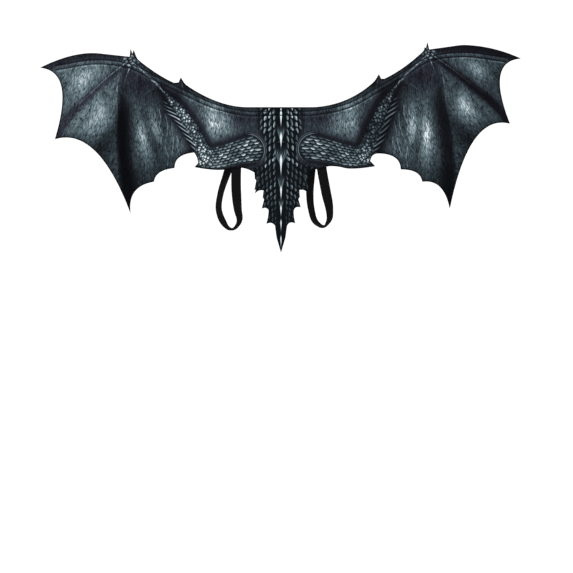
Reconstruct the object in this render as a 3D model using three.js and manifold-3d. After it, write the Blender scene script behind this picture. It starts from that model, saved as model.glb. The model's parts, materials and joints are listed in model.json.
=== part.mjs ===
// Costume dragon wings: one cut panel of printed felt, a wire casing sewn along its top edge,
// and two elastic arm loops. Millimetres, +Z up. The outer print faces -Y and the wearer's back is at +Y.
// The origin is the middle of the neck edge, on the inner face that lies on the wearer's back.
import * as THREE from "three";
import { mergeVertices } from "three/addons/utils/BufferGeometryUtils.js";
import Module from "manifold-3d";

const wasm = await Module();
wasm.setup();

// Driving dimensions
const FELT = 1.5; // thickness of the felt panel
const SEAM_GAP = 0.4; // clearance between pieces that are sewn together
const HALF_SPAN = 525; // from the centre line to a wing tip
const SWEEP = 42; // how far the wing tips bend back from the wearer
const TAIL_CURL = 9; // how far the tail tip lifts off the wearer
const TAIL_HALF = 60; // half the width of the felt that lifts with it
const TAIL_TOP = -140; // height where the tail starts
const TAIL_END = -318; // height of the tail tip
const EDGE_STEPS = 12; // straight steps in each curved stretch of the edge
const SHEET_WIDTH = 1100; // the felt before it is cut
const SHEET_HEIGHT = 500;
const SHEET_TOP = 155;
const SHEET_COLUMNS = 58;
const SHEET_ROWS = 26;
const CASING_WIDTH = 12;
const CASING_SEAM = 0.7; // height of the tape along its two stitched edges
const CASING_STEPS = 84;
const WIRE_BULGE = 3; // height of the tape over the wire
const WIRE_HALF = 3.2; // half the width of that bulge
const STRAP_WIDTH = 20;
const STRAP_THICK = 1.2;
const STRAP_STEPS = 54;
const SEWN = SEAM_GAP + STRAP_THICK / 2; // middle of a band that is sewn flat on the felt
const OVER_CASING = SEAM_GAP + WIRE_BULGE + SEWN; // middle of a band that is sewn over the casing

const SIDES = [
  { name: "left", sign: -1 },
  { name: "right", sign: 1 },
];

// The cut edge of each wing, from the neck out along the top, round the finger tips and down to the tail.
// The two wings are cut alike, but their wires are bent by hand, so each side has its own columns:
// reach from the centre line, rise above the neck edge, sag of the stretch that ends at this point
// (how deep it is hollowed into the felt, negative where it swells) and lean (where along it that is).
const EDGE = [
  { at: "neck_side", left: [79, 0, 0, 0.5], right: [74, 0, 0, 0.5] },
  { at: "claw_in", left: [210, 50, 10, 0.42], right: [206, 58, 13, 0.5] },
  { at: "claw_bump", left: [212, 53, 0, 0.5], right: [208, 62, 0, 0.5] },
  { at: "claw_tip", left: [219, 65, 0, 0.5], right: [214, 72, 0, 0.5] },
  { at: "claw_out", left: [224, 54, 0, 0.5], right: [219, 62, 0, 0.5] },
  { at: "forearm_top", left: [234, 53, 0, 0.5], right: [226, 62, 0, 0.5] },
  { at: "wrist_in", left: [312, 103, 3, 0.4], right: [310, 121, 4, 0.42] },
  { at: "wrist_step", left: [316, 108, 0, 0.5], right: [313, 125, 0, 0.5] },
  { at: "hook_low_tip", left: [322, 125, 0, 0.5], right: [314, 131, 0, 0.5] },
  { at: "hook_gap", left: [325, 116, 0, 0.5], right: [317, 129, 0, 0.5] },
  { at: "hook_high_tip", left: [329, 127, 0, 0.5], right: [320, 142, 0, 0.5] },
  { at: "wrist_out", left: [331, 110, 0, 0.5], right: [324, 126, 0, 0.5] },
  { at: "crest", left: [404, 118, 0, 0.5], right: [396, 136, 0, 0.5] },
  { at: "far_tip", left: [526, 86, -8, 0.42], right: [524, 106, -7, 0.5] },
  { at: "outer_tip", left: [494, -70, 37, 0.14], right: [500, -36, 38, 0.12] },
  { at: "lower_tip", left: [329, -232, 43, 0.2], right: [369, -222, 43, 0.14] },
  { at: "cusp_low", left: [278, -163, 21, 0.5], right: [309, -163, 19, 0.66] },
  { at: "cusp_high", left: [233, -133, 10, 0.3], right: [262, -136, 11, 0.3] },
  { at: "elbow_pit", left: [190, -99, 12, 0.32], right: [208, -101, 15, 0.3] },
  { at: "elbow", left: [181, -122, 2, 0.5], right: [195, -118, 4, 0.5] },
  { at: "elbow_spike", left: [189, -131, 0, 0.5], right: [206, -129, 0, 0.5] },
  { at: "arm_low", left: [126, -137, -2, 0.6], right: [142, -134, -2, 0.6] },
  { at: "arm_end", left: [88, -132, 1, 0.5], right: [103, -129, 2, 0.5] },
  { at: "flank", left: [58, -143, 2, 0.5], right: [62, -138, -1, 0.6] },
  { at: "flank_thorn", left: [57, -157, 0, 0.5], right: [61, -155, 0, 0.5] },
  { at: "thorn_root_1", left: [54, -160, 0, 0.5], right: [58, -158, 0, 0.5] },
  { at: "barb_1", left: [58, -181, 0, 0.5], right: [62, -178, 0, 0.5] },
  { at: "barb_gap_1", left: [55, -180, 0, 0.5], right: [59, -178, 0, 0.5] },
  { at: "spike_1", left: [57, -189, 0, 0.5], right: [59, -188, 0, 0.5] },
  { at: "pit_1", left: [38, -182, 4, 0.5], right: [40, -181, 4, 0.5] },
  { at: "barb_2", left: [40, -197, 0, 0.5], right: [41, -196, 0, 0.5] },
  { at: "barb_gap_2", left: [37, -202, 0, 0.5], right: [38, -201, 0, 0.5] },
  { at: "spike_2", left: [42, -222, 0, 0.5], right: [43, -219, 0, 0.5] },
  { at: "pit_2", left: [27, -225, 5, 0.55], right: [27, -226, 5, 0.55] },
  { at: "barb_3", left: [28, -240, 0, 0.5], right: [28, -239, 0, 0.5] },
  { at: "spike_3", left: [32, -255, 0, 0.5], right: [31, -254, 0, 0.5] },
  { at: "tail_root", left: [13, -259, 5, 0.55], right: [13, -258, 5, 0.55] },
  { at: "tail_side", left: [10, -284, 0, 0.5], right: [10, -284, 0, 0.5] },
];

// Where the felt between the printed fingers swells away from the wearer: the edge points around it,
// the radius of the swell and its height.
const SWELLS = [
  { between: ["wrist_out", "crest", "far_tip", "outer_tip"], radius: 48, height: 7 },
  { between: ["wrist_out", "outer_tip", "lower_tip"], radius: 58, height: 9 },
  { between: ["wrist_out", "lower_tip", "cusp_high", "elbow_pit"], radius: 52, height: 9 },
  { between: ["neck_side", "claw_in", "elbow"], radius: 42, height: 5 },
];

// The wire casing's middle line, from the nape to its cut end near the wing tip.
const CASING_LINE = [
  { at: "nape", left: [0, -13], right: [0, -13] },
  { at: "shoulder", left: [80, -13], right: [76, -12] },
  { at: "rise", left: [150, 4], right: [149, 4] },
  { at: "claw", left: [214, 33], right: [210, 37] },
  { at: "forearm", left: [272, 61], right: [268, 71] },
  { at: "wrist", left: [328, 89], right: [322, 104] },
  { at: "crest", left: [404, 99], right: [398, 115] },
  { at: "end", left: [491, 86], right: [490, 104] },
];

// Each elastic loop, from its end on the casing, down past the felt, round and up to the lower edge:
// reach, distance off the felt, rise, and turn of the band about its run (90 is edge on, 180 turned over).
const STRAPS = {
  left: [
    { at: "sewn_top", reach: 79, off: OVER_CASING - 0.5, rise: -5, turn: 0 },
    { at: "casing", reach: 80, off: OVER_CASING, rise: -13, turn: 0 },
    { at: "below_casing", reach: 83, off: 4.2, rise: -26, turn: 0 },
    { at: "blade", reach: 98, off: 10, rise: -75, turn: 6 },
    { at: "edge", reach: 117, off: 15, rise: -141, turn: 40 },
    { at: "hang", reach: 132, off: 18, rise: -188, turn: 52 },
    { at: "outer", reach: 136, off: 18, rise: -224, turn: 52 },
    { at: "outer_low", reach: 125, off: 17, rise: -252, turn: 52 },
    { at: "bottom", reach: 107, off: 15, rise: -267, turn: 90 },
    { at: "inner_low", reach: 92, off: 12, rise: -248, turn: 124 },
    { at: "inner", reach: 95, off: 8, rise: -221, turn: 146 },
    { at: "inner_rise", reach: 98, off: 4, rise: -180, turn: 174 },
    { at: "lower_edge", reach: 98, off: SEWN + 0.3, rise: -140, turn: 180 },
    { at: "sewn_end", reach: 97, off: SEWN, rise: -120, turn: 180 },
  ],
  right: [
    { at: "sewn_top", reach: 72, off: OVER_CASING - 0.5, rise: -5, turn: 0 },
    { at: "casing", reach: 72, off: OVER_CASING, rise: -13, turn: 0 },
    { at: "below_casing", reach: 72, off: 4.2, rise: -26, turn: 0 },
    { at: "blade", reach: 70, off: 10, rise: -75, turn: 6 },
    { at: "edge", reach: 66, off: 14, rise: -141, turn: 32 },
    { at: "hang", reach: 63, off: 17, rise: -190, turn: 42 },
    { at: "inner", reach: 66, off: 17, rise: -222, turn: 48 },
    { at: "inner_low", reach: 75, off: 16, rise: -251, turn: 56 },
    { at: "bottom", reach: 92, off: 14, rise: -262, turn: 80 },
    { at: "outer_low", reach: 106, off: 12, rise: -248, turn: 120 },
    { at: "outer", reach: 106, off: 9, rise: -222, turn: 142 },
    { at: "outer_rise", reach: 99, off: 4, rise: -188, turn: 172 },
    { at: "lower_edge", reach: 90, off: SEWN + 0.3, rise: -140, turn: 180 },
    { at: "sewn_end", reach: 87, off: SEWN, rise: -118, turn: 180 },
  ],
};

const feltInk = new THREE.MeshStandardMaterial({ color: 0x3a464b, roughness: 0.75, metalness: 0 });
const tapeBlack = new THREE.MeshStandardMaterial({ color: 0x0b0b0c, roughness: 0.85, metalness: 0 });
const elasticBlack = new THREE.MeshStandardMaterial({ color: 0x121213, roughness: 0.8, metalness: 0 });

// A closed geometry as a manifold-3d solid.
function solidFrom(geometry) {
  const bare = geometry.clone();
  bare.deleteAttribute("normal");
  bare.deleteAttribute("uv");
  const merged = mergeVertices(bare, 1e-4);
  return new wasm.Manifold(
    new wasm.Mesh({
      numProp: 3,
      vertProperties: new Float32Array(merged.attributes.position.array),
      triVerts: new Uint32Array(merged.index.array),
    }),
  );
}

// A manifold-3d solid as a geometry.
function geometryFrom(solid) {
  const mesh = solid.getMesh();
  const geometry = new THREE.BufferGeometry();
  geometry.setAttribute("position", new THREE.BufferAttribute(mesh.vertProperties, 3));
  geometry.setIndex(new THREE.BufferAttribute(mesh.triVerts, 1));
  return geometry;
}

// A geometry with each of its points moved to where the given function places it.
function reshape(geometry, place) {
  const positions = geometry.attributes.position;
  for (let index = 0; index < positions.count; index += 1) {
    const { x, y, z } = place(positions.getX(index), positions.getY(index), positions.getZ(index));
    positions.setXYZ(index, x, y, z);
  }
  return geometry;
}

// A named point of the cut edge, as signed reach and rise.
function edgePoint(name, side) {
  const [reach, rise] = EDGE.find((row) => row.at === name)[side.name];
  return new THREE.Vector2(side.sign * reach, rise);
}

// The middle of the named edge points.
function middleOf(names, side) {
  const sum = new THREE.Vector2();
  names.forEach((name) => sum.add(edgePoint(name, side)));
  return sum.divideScalar(names.length);
}

const swellsAtRest = SIDES.flatMap((side) =>
  SWELLS.map((swell) => ({ ...swell, centre: middleOf(swell.between, side) })),
);

// Depth of the felt's inner face at a reach and rise: the wire's sweep, the swells and the tail's curl.
function innerDepth(x, z) {
  const sweep = SWEEP * (x / HALF_SPAN) ** 2;
  const swell = swellsAtRest.reduce((sum, { centre, radius, height }) => {
    const away = ((x - centre.x) ** 2 + (z - centre.y) ** 2) / radius ** 2;
    return sum + height * Math.exp(-away);
  }, 0);
  const down = THREE.MathUtils.clamp((TAIL_TOP - z) / (TAIL_TOP - TAIL_END), 0, 1);
  const curl = TAIL_CURL * down ** 2 * Math.exp(-((x / TAIL_HALF) ** 2));
  return -(sweep + swell + curl);
}

// One wing's edge from the neck to the tail side, as points with the control point of the curve to each.
function edgeStretches(side) {
  let from = new THREE.Vector2(0, 0);
  return EDGE.map((row) => {
    const [reach, rise, sag, lean] = row[side.name];
    const to = new THREE.Vector2(reach, rise);
    const chord = to.clone().sub(from);
    const inward = new THREE.Vector2(chord.y, -chord.x).normalize();
    const control = from.clone().addScaledVector(chord, lean).addScaledVector(inward, 2 * sag);
    const stretch = { from, to, control, straight: sag === 0 };
    from = to;
    return stretch;
  });
}

// The whole cut edge as one closed outline in reach and rise.
function panelOutline() {
  const outline = new THREE.Shape();
  const draw = (sign, straight, control, end) => {
    if (straight) outline.lineTo(sign * end.x, end.y);
    else outline.quadraticCurveTo(sign * control.x, control.y, sign * end.x, end.y);
  };
  const [left, right] = SIDES;
  outline.moveTo(0, 0);
  edgeStretches(right).forEach(({ straight, control, to }) => draw(right.sign, straight, control, to));
  outline.lineTo(0, TAIL_END);
  const back = edgeStretches(left).reverse();
  outline.lineTo(left.sign * back[0].to.x, back[0].to.y);
  back.slice(0, -1).forEach(({ straight, control, from }) => draw(left.sign, straight, control, from));
  return outline;
}

// A sheet of felt, larger than the panel, that follows the panel's depth.
function feltSheet() {
  const sheet = new THREE.BoxGeometry(SHEET_WIDTH, FELT, SHEET_HEIGHT, SHEET_COLUMNS, 1, SHEET_ROWS);
  sheet.translate(0, -FELT / 2, SHEET_TOP - SHEET_HEIGHT / 2);
  return reshape(sheet, (x, y, z) => new THREE.Vector3(x, y + innerDepth(x, z), z));
}

// The felt panel: the sheet, cut along the outline.
function wingPanel() {
  const depth = 4 * SWEEP;
  const cutter = new THREE.ExtrudeGeometry(panelOutline(), {
    depth,
    bevelEnabled: false,
    curveSegments: EDGE_STEPS,
  });
  cutter.rotateX(Math.PI / 2);
  cutter.translate(0, depth / 2, 0);
  return geometryFrom(solidFrom(feltSheet()).intersect(solidFrom(cutter)));
}

// The casing's profile: a flat tape, with the wire's bulge along its middle.
function casingProfile() {
  const half = CASING_WIDTH / 2;
  const profile = new THREE.Shape();
  profile.moveTo(-half, 0);
  profile.lineTo(half, 0);
  profile.lineTo(half, CASING_SEAM);
  profile.lineTo(WIRE_HALF, CASING_SEAM);
  profile.quadraticCurveTo(WIRE_HALF / 2, WIRE_BULGE, 0, WIRE_BULGE);
  profile.quadraticCurveTo(-WIRE_HALF / 2, WIRE_BULGE, -WIRE_HALF, CASING_SEAM);
  profile.lineTo(-half, CASING_SEAM);
  return profile;
}

// The casing's middle line from the left wing's end to the right wing's, flat in reach and rise.
function casingLine() {
  const along = (side) =>
    CASING_LINE.map((row) => new THREE.Vector3(side.sign * row[side.name][0], 0, row[side.name][1]));
  const [left, right] = SIDES.map(along);
  return new THREE.CatmullRomCurve3([...left.reverse(), ...right.slice(1)], false, "centripetal");
}

// The wire casing: its profile along its line, laid on the felt's inner face.
function wireCasing() {
  const line = casingLine();
  const tape = new THREE.ExtrudeGeometry(casingProfile(), {
    depth: 1,
    steps: CASING_STEPS,
    bevelEnabled: false,
    curveSegments: 3,
  });
  return reshape(tape, (across, height, share) => {
    const point = line.getPointAt(share);
    const tangent = line.getTangentAt(share);
    point.x += tangent.z * across;
    point.z -= tangent.x * across;
    point.y = innerDepth(point.x, point.z) + SEAM_GAP + height;
    return point;
  });
}

// An elastic loop: a flat band that follows its stations and turns with them.
function armStrap(side) {
  const stations = STRAPS[side.name];
  const line = new THREE.CatmullRomCurve3(
    stations.map(({ reach, off, rise }) => {
      const x = side.sign * reach;
      return new THREE.Vector3(x, innerDepth(x, rise) + off, rise);
    }),
    false,
    "centripetal",
  );
  const turns = new THREE.SplineCurve(stations.map(({ turn }, index) => new THREE.Vector2(index, turn)));
  const band = new THREE.BoxGeometry(STRAP_WIDTH, STRAP_THICK, 1, 1, 1, STRAP_STEPS);
  band.translate(0, 0, 0.5);
  return reshape(band, (width, thick, share) => {
    const station = line.getUtoTmapping(share);
    const tangent = line.getTangent(station);
    const turn = THREE.MathUtils.degToRad(THREE.MathUtils.clamp(turns.getPoint(station).y, 0, 180));
    const inward = new THREE.Vector3(-tangent.z, 0, tangent.x).normalize();
    const across = inward.multiplyScalar(Math.cos(turn));
    across.y = side.sign * Math.sin(turn);
    across.addScaledVector(tangent, -across.dot(tangent)).normalize();
    const face = new THREE.Vector3().crossVectors(tangent, across);
    return line.getPoint(station).addScaledVector(across, width).addScaledVector(face, thick);
  });
}

// A named mesh with its material.
function piece(name, geometry, material) {
  geometry.computeVertexNormals();
  const mesh = new THREE.Mesh(geometry, material);
  mesh.name = name;
  return mesh;
}

const wings = new THREE.Group();
wings.add(piece("wing_panel", wingPanel(), feltInk));
wings.add(piece("wire_casing", wireCasing(), tapeBlack));
SIDES.forEach((side) => wings.add(piece(`arm_strap_${side.name}`, armStrap(side), elasticBlack)));

export default wings;
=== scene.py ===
"""Costume dragon wings: a printed felt panel on a bent wire, worn by two elastic arm loops.

The panel, the wire's casing, the loops and the threads that hold them are made here in metres,
+Z up, with the outer print towards -Y and the wearer's back at +Y.
"""

import json
import logging
import math
from dataclasses import dataclass, field
from enum import Enum
from typing import Any, NamedTuple, Sequence

import bpy
import numpy as np
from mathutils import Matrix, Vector
from mathutils.geometry import delaunay_2d_cdt

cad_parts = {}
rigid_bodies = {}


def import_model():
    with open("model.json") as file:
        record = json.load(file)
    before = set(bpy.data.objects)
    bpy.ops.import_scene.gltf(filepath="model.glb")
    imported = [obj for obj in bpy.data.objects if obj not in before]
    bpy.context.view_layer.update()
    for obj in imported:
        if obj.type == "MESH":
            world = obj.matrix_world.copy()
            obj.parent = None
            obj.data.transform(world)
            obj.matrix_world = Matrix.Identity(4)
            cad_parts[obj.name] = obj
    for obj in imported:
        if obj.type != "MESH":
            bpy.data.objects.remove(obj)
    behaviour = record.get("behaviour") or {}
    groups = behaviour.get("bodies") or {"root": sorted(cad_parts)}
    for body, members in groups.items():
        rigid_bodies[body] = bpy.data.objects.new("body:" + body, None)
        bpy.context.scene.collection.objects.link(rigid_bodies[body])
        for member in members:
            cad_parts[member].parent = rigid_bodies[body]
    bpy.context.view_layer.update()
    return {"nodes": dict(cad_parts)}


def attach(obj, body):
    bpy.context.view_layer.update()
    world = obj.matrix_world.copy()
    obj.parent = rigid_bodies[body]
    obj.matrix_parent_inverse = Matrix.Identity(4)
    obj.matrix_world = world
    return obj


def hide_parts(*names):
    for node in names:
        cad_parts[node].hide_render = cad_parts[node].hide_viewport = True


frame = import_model()
LOG = logging.getLogger("wings")
MM = 0.001
LIGHT_LEVEL = 1.72  # how much brighter than its dye a surface shows in the studio
MIX_SHARE, MIX_LOW, MIX_HIGH, MIXED = 0, 6, 7, 2  # a Mix node's sockets for colours

Array = np.ndarray
Colour = tuple[float, float, float, float]


class Side(Enum):
    """The wearer's two sides, each as the sign of X."""

    LEFT = -1
    RIGHT = 1


class Face(Enum):
    """The two faces of the felt."""

    OUTER = 0
    INNER = 1


@dataclass(frozen=True)
class Landmark:
    """A point of the cut edge on both wings, as reach and rise in millimetres from the neck."""

    left: tuple[float, float]
    right: tuple[float, float]

    def on(self, side: Side) -> Array:
        """The point on one wing, with X signed."""
        reach, rise = self.left if side is Side.LEFT else self.right
        return np.array([side.value * reach, rise])


LANDMARKS: dict[str, Landmark] = {
    "neck_side": Landmark((79, 0), (74, 0)),
    "claw_in": Landmark((210, 50), (206, 58)),
    "claw_tip": Landmark((219, 65), (214, 72)),
    "forearm_top": Landmark((234, 53), (226, 62)),
    "wrist_in": Landmark((312, 103), (310, 121)),
    "wrist_out": Landmark((331, 110), (324, 126)),
    "crest": Landmark((404, 118), (396, 136)),
    "far_tip": Landmark((526, 86), (524, 106)),
    "outer_tip": Landmark((494, -70), (500, -36)),
    "lower_tip": Landmark((329, -232), (369, -222)),
    "cusp_low": Landmark((278, -163), (309, -163)),
    "cusp_high": Landmark((233, -133), (262, -136)),
    "elbow_pit": Landmark((190, -99), (208, -101)),
    "elbow": Landmark((181, -122), (195, -118)),
    "elbow_spike": Landmark((189, -131), (206, -129)),
    "arm_low": Landmark((126, -137), (142, -134)),
    "arm_end": Landmark((88, -132), (103, -129)),
    "flank": Landmark((58, -143), (62, -138)),
    "spike_1": Landmark((57, -189), (59, -188)),
    "pit_1": Landmark((38, -182), (40, -181)),
    "spike_2": Landmark((42, -222), (43, -219)),
    "spike_3": Landmark((32, -255), (31, -254)),
    "tail_root": Landmark((13, -259), (13, -258)),
    "nape": Landmark((0, 0), (0, 0)),
    "back_high": Landmark((0, -50), (0, -50)),
    "back_low": Landmark((0, -110), (0, -110)),
    "tail_high": Landmark((0, -180), (0, -180)),
    "tail_low": Landmark((0, -250), (0, -250)),
    "tail_tip": Landmark((0, -318), (0, -318)),
}


def step_up(values: Array, low: float, high: float) -> Array:
    """Smooth step from 0 at low to 1 at high."""
    share = np.clip((values - low) / (high - low), 0.0, 1.0)
    return share * share * (3.0 - 2.0 * share)


def bell(values: Array, width: float) -> Array:
    """Smooth hump that is 1 at 0 and fades over a width."""
    return np.exp(-((values / width) ** 2))


def unit_rows(rows: Array) -> Array:
    """Scale each row to a length of 1."""
    return rows / np.linalg.norm(rows, axis=1)[:, None]


def smooth_line(points: Sequence[Sequence[float]] | Array, steps: int) -> Array:
    """Draw a smooth line through points.

    Args:
        points: The points to pass, one row each.
        steps: How many steps to make between each two.

    Returns:
        The points of the line, the given ones among them.
    """
    points = np.asarray(points, float)
    ends = np.vstack([2 * points[0] - points[1], points, 2 * points[-1] - points[-2]])
    share = np.linspace(0.0, 1.0, steps, endpoint=False)[:, None]
    rows = [
        0.5
        * (
            2 * b
            + (c - a) * share
            + (2 * a - 5 * b + 4 * c - d) * share**2
            + (3 * b - a - 3 * c + d) * share**3
        )
        for a, b, c, d in zip(ends, ends[1:], ends[2:], ends[3:])
    ]
    return np.vstack([*rows, points[-1:]])


def lengths_along(line: Array) -> Array:
    """Length from the start of a line to each of its points."""
    return np.concatenate([[0.0], np.cumsum(np.linalg.norm(np.diff(line, axis=0), axis=1))])


def read_off(rows: Array, along: Array, wanted: Array) -> Array:
    """Read rows off between those known along a line.

    Args:
        rows: What is known, one row to each length.
        along: The lengths at which it is known.
        wanted: The lengths to read at.

    Returns:
        One row to each wanted length.
    """
    return np.stack([np.interp(wanted, along, column) for column in rows.T], axis=1)


def even_line(line: Array, gap: float) -> Array:
    """Space the points of a line evenly.

    Args:
        line: Its points, one row each.
        gap: The wanted distance between two of them.

    Returns:
        The same line with points about that far apart.
    """
    along = lengths_along(line)
    wanted = np.linspace(0.0, along[-1], max(2, int(round(along[-1] / gap)) + 1))
    return read_off(line, along, wanted)


class Beside(NamedTuple):
    """Where places lie beside a line."""

    distance: Array
    along: Array
    offset: Array


def beside(places: Array, line: Array) -> Beside:
    """Measure places against a line.

    Args:
        places: Flat points, one row each.
        line: The line's points in order.

    Returns:
        The distance, the length along the line, and the offset to the line's left.
    """
    distance = np.full(len(places), np.inf)
    along = np.zeros(len(places))
    offset = np.zeros(len(places))
    passed = 0.0
    for tail, head in zip(line[:-1], line[1:]):
        way = head - tail
        length = float(np.hypot(*way))
        away = places - tail
        share = np.clip(away @ way / length**2, 0.0, 1.0)
        gap = np.hypot(*(away - share[:, None] * way).T)
        nearer = gap < distance
        distance[nearer] = gap[nearer]
        along[nearer] = passed + share[nearer] * length
        turn = way[0] * away[:, 1] - way[1] * away[:, 0]
        offset[nearer] = np.copysign(gap, turn)[nearer]
        passed += length
    return Beside(distance, along, offset)


def inside(places: Array, loop: Array) -> Array:
    """Tell which flat places lie within a closed loop.

    Args:
        places: The places, one row each.
        loop: The loop's points in order.

    Returns:
        True for each place within it.
    """
    within = np.zeros(len(places), bool)
    for (x0, z0), (x1, z1) in zip(loop, np.roll(loop, -1, axis=0)):
        if z0 == z1:
            continue
        spans = (places[:, 1] >= min(z0, z1)) & (places[:, 1] < max(z0, z1))
        crossing = x0 + (places[:, 1] - z0) * (x1 - x0) / (z1 - z0)
        within ^= spans & (places[:, 0] < crossing)
    return within


def border_edges(triangles: Array) -> list[tuple[int, int]]:
    """Find the free edges of a sheet of triangles.

    Args:
        triangles: The indices of their corners, one row each.

    Returns:
        The edges that only one triangle has, as it runs them, sorted.
    """
    ways = np.concatenate([triangles[:, [0, 1]], triangles[:, [1, 2]], triangles[:, [2, 0]]])
    known = {(int(p), int(q)) for p, q in ways}
    return sorted((p, q) for p, q in known if (q, p) not in known)


class PatternWarp:
    """Carries a place on the right wing to the same place of the print on the left wing."""

    def __init__(self, source: Array, target: Array) -> None:
        """Fit the smoothest bend between two sets of points.

        Args:
            source: Points on the right wing.
            target: The same points of the print on the left wing.
        """
        count = len(source)
        system = np.zeros((count + 3, count + 3))
        system[:count, :count] = self._bend(source, source)
        system[:count, count:] = np.c_[np.ones(count), source]
        system[count:, :count] = system[:count, count:].T
        known = np.zeros((count + 3, 2))
        known[:count] = target
        self._source = source
        self._weights = np.linalg.solve(system, known)

    @staticmethod
    def _bend(places: Array, source: Array) -> Array:
        """The bending kernel between each place and each source point."""
        squared = ((places[:, None] - source[None]) ** 2).sum(axis=-1)
        return squared * np.log(squared + 1e-9)

    def __call__(self, places: Array) -> Array:
        """Move the given places."""
        terms = np.c_[self._bend(places, self._source), np.ones(len(places)), places]
        return terms @ self._weights


def pattern_places(places: Array) -> Array:
    """Find where flat places of the panel lie in the print.

    Args:
        places: X and Z in millimetres, one row each.

    Returns:
        Reach and rise on the left wing, with the reach signed as X is.
    """
    marks = LANDMARKS.values()
    right = np.array([mark.on(Side.RIGHT) for mark in marks])
    left = np.array([mark.on(Side.LEFT) for mark in marks]) * (-1.0, 1.0)
    found = places.copy()
    on_right = places[:, 0] > 0.0
    found[on_right] = PatternWarp(right, left)(places[on_right])
    return found


def feed(socket: bpy.types.NodeSocket, value: Any) -> None:
    """Give an input socket what it takes.

    Args:
        socket: The input.
        value: A Value to link to it, or a plain number or colour to set on it.
    """
    if isinstance(value, Value):
        socket.id_data.links.new(value.socket, socket)
    else:
        socket.default_value = value


def add_node(
    tree: bpy.types.NodeTree,
    kind: str,
    settings: dict[str, Any] | None = None,
    sockets: dict[str | int, Any] | None = None,
) -> bpy.types.Node:
    """Add a node to a tree.

    Args:
        tree: The tree.
        kind: The node's type.
        settings: Its properties, with "stops" for the places and colours of a ramp.
        sockets: The values or links of its inputs.

    Returns:
        The node.
    """
    node = tree.nodes.new(kind)
    for key, value in (settings or {}).items():
        if key == "stops":
            ramp = node.color_ramp
            while len(ramp.elements) < len(value):
                ramp.elements.new(1.0)
            for element, (place, colour) in zip(ramp.elements, value):
                element.position = place
                element.color = colour
        else:
            setattr(node, key, value)
    for key, value in (sockets or {}).items():
        feed(node.inputs[key], value)
    return node


class Value:
    """A shader value that Python arithmetic turns into Math nodes."""

    def __init__(self, socket: bpy.types.NodeSocket) -> None:
        """Wrap an output socket."""
        self.socket = socket

    @staticmethod
    def combine(operation: str, *terms: "Value | float") -> "Value":
        """Add one Math node.

        Args:
            operation: What the node does.
            terms: Its inputs in order, at least one of them a Value.

        Returns:
            The node's result.
        """
        tree = next(term for term in terms if isinstance(term, Value)).socket.id_data
        node = add_node(tree, "ShaderNodeMath", {"operation": operation}, dict(enumerate(terms)))
        return Value(node.outputs[0])

    def __add__(self, other: "Value | float") -> "Value":
        """Sum."""
        return Value.combine("ADD", self, other)

    __radd__ = __add__

    def __sub__(self, other: "Value | float") -> "Value":
        """Difference."""
        return Value.combine("SUBTRACT", self, other)

    def __rsub__(self, other: float) -> "Value":
        """Difference from a number."""
        return Value.combine("SUBTRACT", other, self)

    def __mul__(self, other: "Value | float") -> "Value":
        """Product."""
        return Value.combine("MULTIPLY", self, other)

    __rmul__ = __mul__

    def __truediv__(self, other: "Value | float") -> "Value":
        """Quotient."""
        return Value.combine("DIVIDE", self, other)

    def __rtruediv__(self, other: float) -> "Value":
        """Quotient of a number."""
        return Value.combine("DIVIDE", other, self)

    def __abs__(self) -> "Value":
        """Size without sign."""
        return Value.combine("ABSOLUTE", self)

    def floor(self) -> "Value":
        """Whole part."""
        return Value.combine("FLOOR", self)

    def fract(self) -> "Value":
        """Part after the whole."""
        return Value.combine("FRACT", self)

    def least(self, other: "Value | float") -> "Value":
        """The smaller of two."""
        return Value.combine("MINIMUM", self, other)

    def towards(self, other: "Value | float", share: "Value") -> "Value":
        """This value, moved towards another by a share."""
        return self + (other - self) * share

    def up(self, low: float, high: float) -> "Value":
        """Step up smoothly.

        Args:
            low: Where the step is still 0.
            high: Where it reaches 1.

        Returns:
            The step.
        """
        settings = {"interpolation_type": "SMOOTHSTEP"}
        sockets = {"Value": self, "From Min": low, "From Max": high}
        node = add_node(self.socket.id_data, "ShaderNodeMapRange", settings, sockets)
        return Value(node.outputs["Result"])

    def down(self, low: float, high: float) -> "Value":
        """Smooth step from 1 at low to 0 at high."""
        return 1.0 - self.up(low, high)


class Flakes(NamedTuple):
    """The parts of a scale pattern: its bodies, their lit sides and a tone for each scale."""

    body: Value
    lit: Value
    tone: Value


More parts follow.
